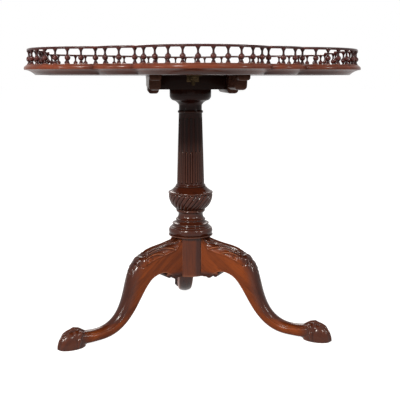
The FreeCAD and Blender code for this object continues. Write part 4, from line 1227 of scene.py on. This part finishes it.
def spindle_tree():
    """Tree that sets turned spindles along the lobes of the gallery."""
    tree, given = new_tree("Gallery spindles", {
        "Spindle": "Object", "Lobes": "Int", "Large radius": "Float", "Large centre": "Vector",
        "Large half turn": "Float", "Large count": "Int", "Small radius": "Float", "Small centre": "Vector",
        "Small start": "Float", "Small sweep": "Float", "Small count": "Int", "Seed": "Int",
    })

    def arc(size, start, sweep):
        curve = wire(tree, "GeometryNodeCurveArc", {
            "Resolution": given[size + " count"], "Radius": given[size + " radius"],
            "Start Angle": start, "Sweep Angle": sweep,
        }, mode="RADIUS")
        return wire(tree, "GeometryNodeTransform", {
            "Geometry": curve["Curve"], "Translation": given[size + " centre"]})[0]

    half = given["Large half turn"]
    large = arc("Large", calculated(tree, "MULTIPLY", half, -1.0), calculated(tree, "MULTIPLY", half, 2.0))
    both = wire(tree, "GeometryNodeJoinGeometry", {0: large})[0]
    tree.links.new(arc("Small", given["Small start"], given["Small sweep"]), both.node.inputs[0])
    stations = wire(tree, "GeometryNodeCurveToPoints", {"Curve": both}, mode="EVALUATED")
    model = wire(tree, "GeometryNodeObjectInfo", {"Object": given["Spindle"]})
    lobe = wire(tree, "GeometryNodeInstanceOnPoints", {
        "Points": stations["Points"], "Instance": model["Geometry"],
        "Rotation": any_turn(tree, 2 * math.pi, given["Seed"]),
    })[0]
    hub = wire(tree, "GeometryNodePoints", {"Count": given["Lobes"]})[0]
    index = wire(tree, "GeometryNodeInputIndex")[0]
    part = calculated(tree, "DIVIDE", index, given["Lobes"])
    turn = calculated(tree, "MULTIPLY_ADD", part, 2 * math.pi, math.radians(FRONT))
    facing = wire(tree, "ShaderNodeCombineXYZ", {"Z": turn})[0]
    round_top = wire(tree, "GeometryNodeInstanceOnPoints", {
        "Points": hub, "Instance": lobe, "Rotation": facing})[0]
    end_tree(tree, round_top, "mahogany_gallery")
    return tree


class TeaTableSpindles(Operator):
    """Set the turned spindles along the gallery"""

    bl_idname = "tea_table.spindles"
    bl_label = "Gallery spindles"

    def execute(self, context):
        turn = full_turn(SPINDLE_COLUMNS)
        points, faces = tube(np.array([level_ring(r, z + BOARD_TOP, turn) for r, z in SPINDLE_OUTLINE]))
        model = helper_object("spindle_model", points * MM, faces)
        model.data.shade_smooth()
        large_half, small_half = half_turns(0.0)
        inner = small_half * (1.0 - 2.0 / SMALL_SPACES)
        mesh = grown("gallery_spindles", spindle_tree(), {
            "Spindle": model, "Lobes": LOBE_COUNT, "Large radius": LOBE_RADIUS * MM,
            "Large centre": (LOBE_CENTRE * MM, 0.0, 0.0), "Large half turn": large_half,
            "Large count": LOBE_SPACES + 1, "Small radius": SMALL_RADIUS * MM,
            "Small centre": (SMALL_PLACE[0] * MM, SMALL_PLACE[1] * MM, 0.0),
            "Small start": SMALL_TURN - inner, "Small sweep": 2 * inner, "Small count": SMALL_SPACES - 1,
            "Seed": SPINDLE_SEED,
        })
        discard(model)
        nodes = ["spindles_%s_%d" % (kind, i + 1) for kind in ("lobe", "small") for i in range(LOBE_COUNT)]
        placed("gallery_spindles", mesh, "top", "mahogany_gallery", nodes, grain_along("z", NO_SHIFT),
               SPINDLE_POLISH, 45.0)
        return {"FINISHED"}


# Block, bearers and catch

# Painted shade: the block under the board is darkened nearly to black
BLOCK_SHADE = 0.80


class TeaTableBlock(Operator):
    """Finish the pivot block, its pins and the column's wedge"""

    bl_idname = "tea_table.block"
    bl_label = "Pivot block"

    def execute(self, context):
        softened("tilt_block", "pivot_block", 1.2, "stand", "mahogany_under",
                 grain_along("x", (0.2, 0.3, 0.1)), BLOCK_SHADE)
        for i, side in enumerate(("left", "right")):
            softened("tilt_pin_" + side, "pivot_pin_" + side, 0.4, "stand", "mahogany_under",
                     grain_along("x", (0.5 * i, 0.2, 0.4)))
        softened("column_wedge", "tenon_wedge", 0.3, "stand", "mahogany_under",
                 grain_along("z", (0.7, 0.1, 0.3)))
        return {"FINISHED"}


class TeaTableBearers(Operator):
    """Finish the two bearers under the board"""

    bl_idname = "tea_table.bearers"
    bl_label = "Bearers"

    def execute(self, context):
        for i, side in enumerate(("left", "right")):
            softened("shaped_bearer_" + side, "bearer_" + side, 1.4, "top", "mahogany_under",
                     grain_along("y", (0.9 * i, 0.2, 0.6)))
        return {"FINISHED"}


class TeaTableCatch(Operator):
    """Finish the brass catch: case, bolt with its thumb lever, and strike plate"""

    bl_idname = "tea_table.catch"
    bl_label = "Catch"

    def execute(self, context):
        straight = grain_along("y", NO_SHIFT)
        softened("brass_case", "catch_case", 0.4, "top", "brass", straight)
        softened("brass_bolt", "catch_bolt", 0.6, "catch", "brass", straight)
        softened("brass_strike", "strike_plate", 0.3, "stand", "brass", straight)
        return {"FINISHED"}


# Screws: place across, forward and upward in millimetres, and size as a share of a bearer screw
BEARER_SCREWS = [(96.5, 170.0, 617.0, 1.0), (96.5, 268.0, 639.0, 1.0)]
PLATE_SCREWS = [(13.2, -136.5, 649.5, 0.62), (13.2, -95.5, 649.5, 0.62)]
STRIKE_SCREWS = [(11.3, -83.7, 642.5, 0.5)]
SCREW_SEED = 3

# Head of a screw, in shares of its radius: half width of the slot, radius and height of the crown,
# height of the shoulder, floor of the slot, and how deep the head sits in the wood
SLOT_HALF = 0.16
CROWN_RADIUS = 0.86
CROWN_TOP = 0.11
SHOULDER_TOP = 0.04
SLOT_FLOOR = -0.10
HEAD_BOTTOM = -0.22


def screw_model(radius):
    """Hidden slotted screw head for a node tree to repeat, facing up from the origin, in metres."""
    slot = math.asin(SLOT_HALF)
    arc = np.linspace(slot, math.pi - slot, 9)
    shoulder = np.stack((np.cos(arc), np.sin(arc)), -1)
    crown = np.stack((CROWN_RADIUS * np.cos(arc), np.maximum(CROWN_RADIUS * np.sin(arc), SLOT_HALF)), -1)
    rings = [(shoulder, HEAD_BOTTOM), (shoulder, SHOULDER_TOP), (crown, CROWN_TOP)]
    parts = []
    for side in (1.0, -1.0):
        parts.append(tube(np.array([np.insert(side * ring, 2, height, 1) for ring, height in rings])))
    turn = full_turn(16)
    parts.append(tube(np.array([level_ring(1.0, height, turn) for height in (HEAD_BOTTOM, SLOT_FLOOR)])))
    points, faces = joined(parts)
    return helper_object("screw_model", points * radius, faces)


def screw_tree():
    """Tree that drives slotted screws at marked places, all facing one way."""
    tree, given = new_tree("Wood screws", {
        "Screw": "Object", "Places": "Object", "Facing": "Vector", "Seed": "Int"})
    marks = wire(tree, "GeometryNodeObjectInfo", {"Object": given["Places"]})
    model = wire(tree, "GeometryNodeObjectInfo", {"Object": given["Screw"]})
    size = wire(tree, "GeometryNodeInputNamedAttribute", {"Name": "size"}, data_type="FLOAT")
    heads = wire(tree, "GeometryNodeInstanceOnPoints", {
        "Points": marks["Geometry"], "Instance": model["Geometry"], "Rotation": given["Facing"],
        "Scale": size["Attribute"],
    })[0]
    driven = wire(tree, "GeometryNodeRotateInstances", {
        "Instances": heads, "Rotation": any_turn(tree, math.pi, given["Seed"])})[0]
    end_tree(tree, driven, "brass")
    return tree


class TeaTableScrews(Operator):
    """Drive the screws of the bearers, the catch plate and the strike plate"""

    bl_idname = "tea_table.screws"
    bl_label = "Screws"

    def drive(self, name, body, spots, facing):
        """One mesh of screws for a body."""
        spots = np.array(spots)
        places = helper_object("screw_places", spots[:, :3] * MM, [])
        store(places.data, "size", "FLOAT", spots[:, 3])
        model = screw_model(sizes().screw_radius)
        mesh = grown(name, screw_tree(), {
            "Screw": model, "Places": places, "Facing": facing, "Seed": SCREW_SEED})
        discard(model)
        discard(places)
        placed(name, mesh, body, "brass", [], grain_along("y", NO_SHIFT))

    def execute(self, context):
        sides = (-1, 1)
        under = [(side * x, end * y, z, size)
                 for x, y, z, size in BEARER_SCREWS for side in sides for end in sides]
        under += [(side * x, y, z, size) for x, y, z, size in PLATE_SCREWS for side in sides]
        self.drive("top_screws", "top", under, (math.pi, 0.0, 0.0))
        front = [(side * x, y, z, size) for x, y, z, size in STRIKE_SCREWS for side in sides]
        self.drive("strike_screws", "stand", front, (math.pi / 2, 0.0, 0.0))
        return {"FINISHED"}


# Stage, in metres and watts

WHITE = (1.0, 1.0, 1.0, 1.0)
SOFT_LIGHT = 0.11
FLOOR_REACH = 40.0
FLOOR_GREY = (0.30, 0.30, 0.30, 1.0)
FLOOR_GLOW = 0.97
LAMP_COLOUR = (1.0, 0.95, 0.90)

# Lamps: name, place, point faced, width and height, power
LAMPS = [
    ("softbox_left", (-1.20, -1.95, 1.85), (0.0, 0.0, 0.30), (0.40, 0.56), 60.0),
    ("softbox_right", (1.05, -1.95, 1.80), (0.0, 0.0, 0.30), (0.24, 0.36), 10.5),
    ("strip_left", (-1.95, -1.30, 1.25), (0.0, 0.0, 0.25), (0.08, 0.6), 16.0),
    ("strip_right", (1.95, -1.30, 1.25), (0.0, 0.0, 0.25), (0.08, 0.6), 15.0),
    ("back_soft", (0.0, 2.30, 1.70), (0.0, 0.0, 0.35), (1.6, 1.0), 42.0),
    ("overhead", (0.0, 0.2, 2.6), (0.0, 0.0, 0.7), (2.0, 2.0), 14.0),
]

# Camera: lens and sensor in millimetres, place, and angles in degrees below level and to the right
CAMERA_LENS = 65.15
CAMERA_SENSOR = 36.0
CAMERA_PLACE = (-0.137, -1.867, 0.643)
CAMERA_DROP = 9.52
CAMERA_TURN = 4.95


def seen(tree):
    """One where the background is looked at, straight, in a shine or through glass."""
    path = wire(tree, "ShaderNodeLightPath")
    shine = calculated(tree, "MAXIMUM", path["Is Glossy Ray"], path["Is Transmission Ray"])
    return calculated(tree, "MAXIMUM", path["Is Camera Ray"], shine)


class TeaTableStage(Operator):
    """Set the floor, the soft lights and the camera"""

    bl_idname = "tea_table.stage"
    bl_label = "Stage"

    def execute(self, context):
        scene = context.scene
        scene.view_settings.view_transform = "Standard"
        world = bpy.data.worlds.new("studio")
        scene.world = world
        world.use_nodes = True
        tree = world.node_tree
        tree.nodes.clear()
        soft = wire(tree, "ShaderNodeBackground", {"Color": WHITE, "Strength": SOFT_LIGHT})[0]
        white = wire(tree, "ShaderNodeBackground", {"Color": WHITE, "Strength": 1.0})[0]
        mix = wire(tree, "ShaderNodeMixShader", {0: seen(tree), 1: soft, 2: white})[0]
        wire(tree, "ShaderNodeOutputWorld", {"Surface": mix})
        self.floor()
        for lamp in LAMPS:
            self.lamp(*lamp)
        data = bpy.data.cameras.new("camera")
        data.sensor_width = CAMERA_SENSOR
        data.lens = CAMERA_LENS
        camera = bpy.data.objects.new("camera", data)
        camera.location = CAMERA_PLACE
        camera.rotation_euler = (math.radians(90.0 - CAMERA_DROP), 0.0, math.radians(-CAMERA_TURN))
        link(camera)
        scene.camera = camera
        return {"FINISHED"}

    def floor(self):
        """Pale floor that keeps the table's shadow."""
        material, tree = blank_material("pale_floor")
        matt = wire(tree, "ShaderNodeBsdfDiffuse", {"Color": FLOOR_GREY})[0]
        glow = wire(tree, "ShaderNodeEmission", {"Color": WHITE, "Strength": FLOOR_GLOW})[0]
        both = wire(tree, "ShaderNodeAddShader", {0: matt, 1: glow})[0]
        mix = wire(tree, "ShaderNodeMixShader", {0: seen(tree), 1: matt, 2: both})[0]
        wire(tree, "ShaderNodeOutputMaterial", {"Surface": mix})
        corners = np.array([(-1.0, -1.0, 0.0), (1.0, -1.0, 0.0), (1.0, 1.0, 0.0), (-1.0, 1.0, 0.0)])
        floor = helper_object("floor", corners * FLOOR_REACH, [(0, 1, 2, 3)])
        floor.data.materials.append(material)
        link(floor)

    def lamp(self, name, place, target, size, power):
        """Softbox that faces a point."""
        data = bpy.data.lights.new(name, "AREA")
        data.shape = "RECTANGLE"
        data.size, data.size_y = size
        data.energy = power
        data.color = LAMP_COLOUR
        lamp = bpy.data.objects.new(name, data)
        lamp.location = place
        lamp.rotation_euler = (Vector(target) - Vector(place)).to_track_quat("-Z", "Y").to_euler()
        link(lamp)


class TeaTablePanel(Panel):
    """Pieces and finishes of the tea table"""

    bl_idname = "VIEW3D_PT_tea_table"
    bl_label = "Tea Table"
    bl_space_type = "VIEW_3D"
    bl_region_type = "UI"
    bl_category = "Tea Table"

    def draw(self, context):
        layout = self.layout
        for group in (context.scene.tea_table_sizes, context.scene.tea_table_finish):
            box = layout.box()
            for name in group.__annotations__:
                box.prop(group, name)
        for operator in OPERATORS:
            layout.operator(operator.bl_idname)


OPERATORS = [
    TeaTableColumn, TeaTableLegs, TeaTableTopBoard, TeaTableRails, TeaTableSpindles, TeaTableBlock,
    TeaTableBearers, TeaTableCatch, TeaTableScrews, TeaTableStage,
]
CLASSES = [TeaTableSizes, TeaTableFinish] + OPERATORS + [TeaTablePanel]


def register():
    """Add the table's properties, operators and panel."""
    for kind in CLASSES:
        bpy.utils.register_class(kind)
    bpy.types.Scene.tea_table_sizes = PointerProperty(type=TeaTableSizes)
    bpy.types.Scene.tea_table_finish = PointerProperty(type=TeaTableFinish)


def unregister():
    """Take the table's properties, operators and panel away."""
    del bpy.types.Scene.tea_table_finish
    del bpy.types.Scene.tea_table_sizes
    for kind in reversed(CLASSES):
        bpy.utils.unregister_class(kind)


def main():
    """Build every piece in order."""
    register()
    bpy.ops.tea_table.column()
    bpy.ops.tea_table.legs()
    bpy.ops.tea_table.top_board()
    bpy.ops.tea_table.rails()
    bpy.ops.tea_table.spindles()
    bpy.ops.tea_table.block()
    bpy.ops.tea_table.bearers()
    bpy.ops.tea_table.catch()
    bpy.ops.tea_table.screws()
    bpy.ops.tea_table.stage()


if __name__ == "__main__":
    main()
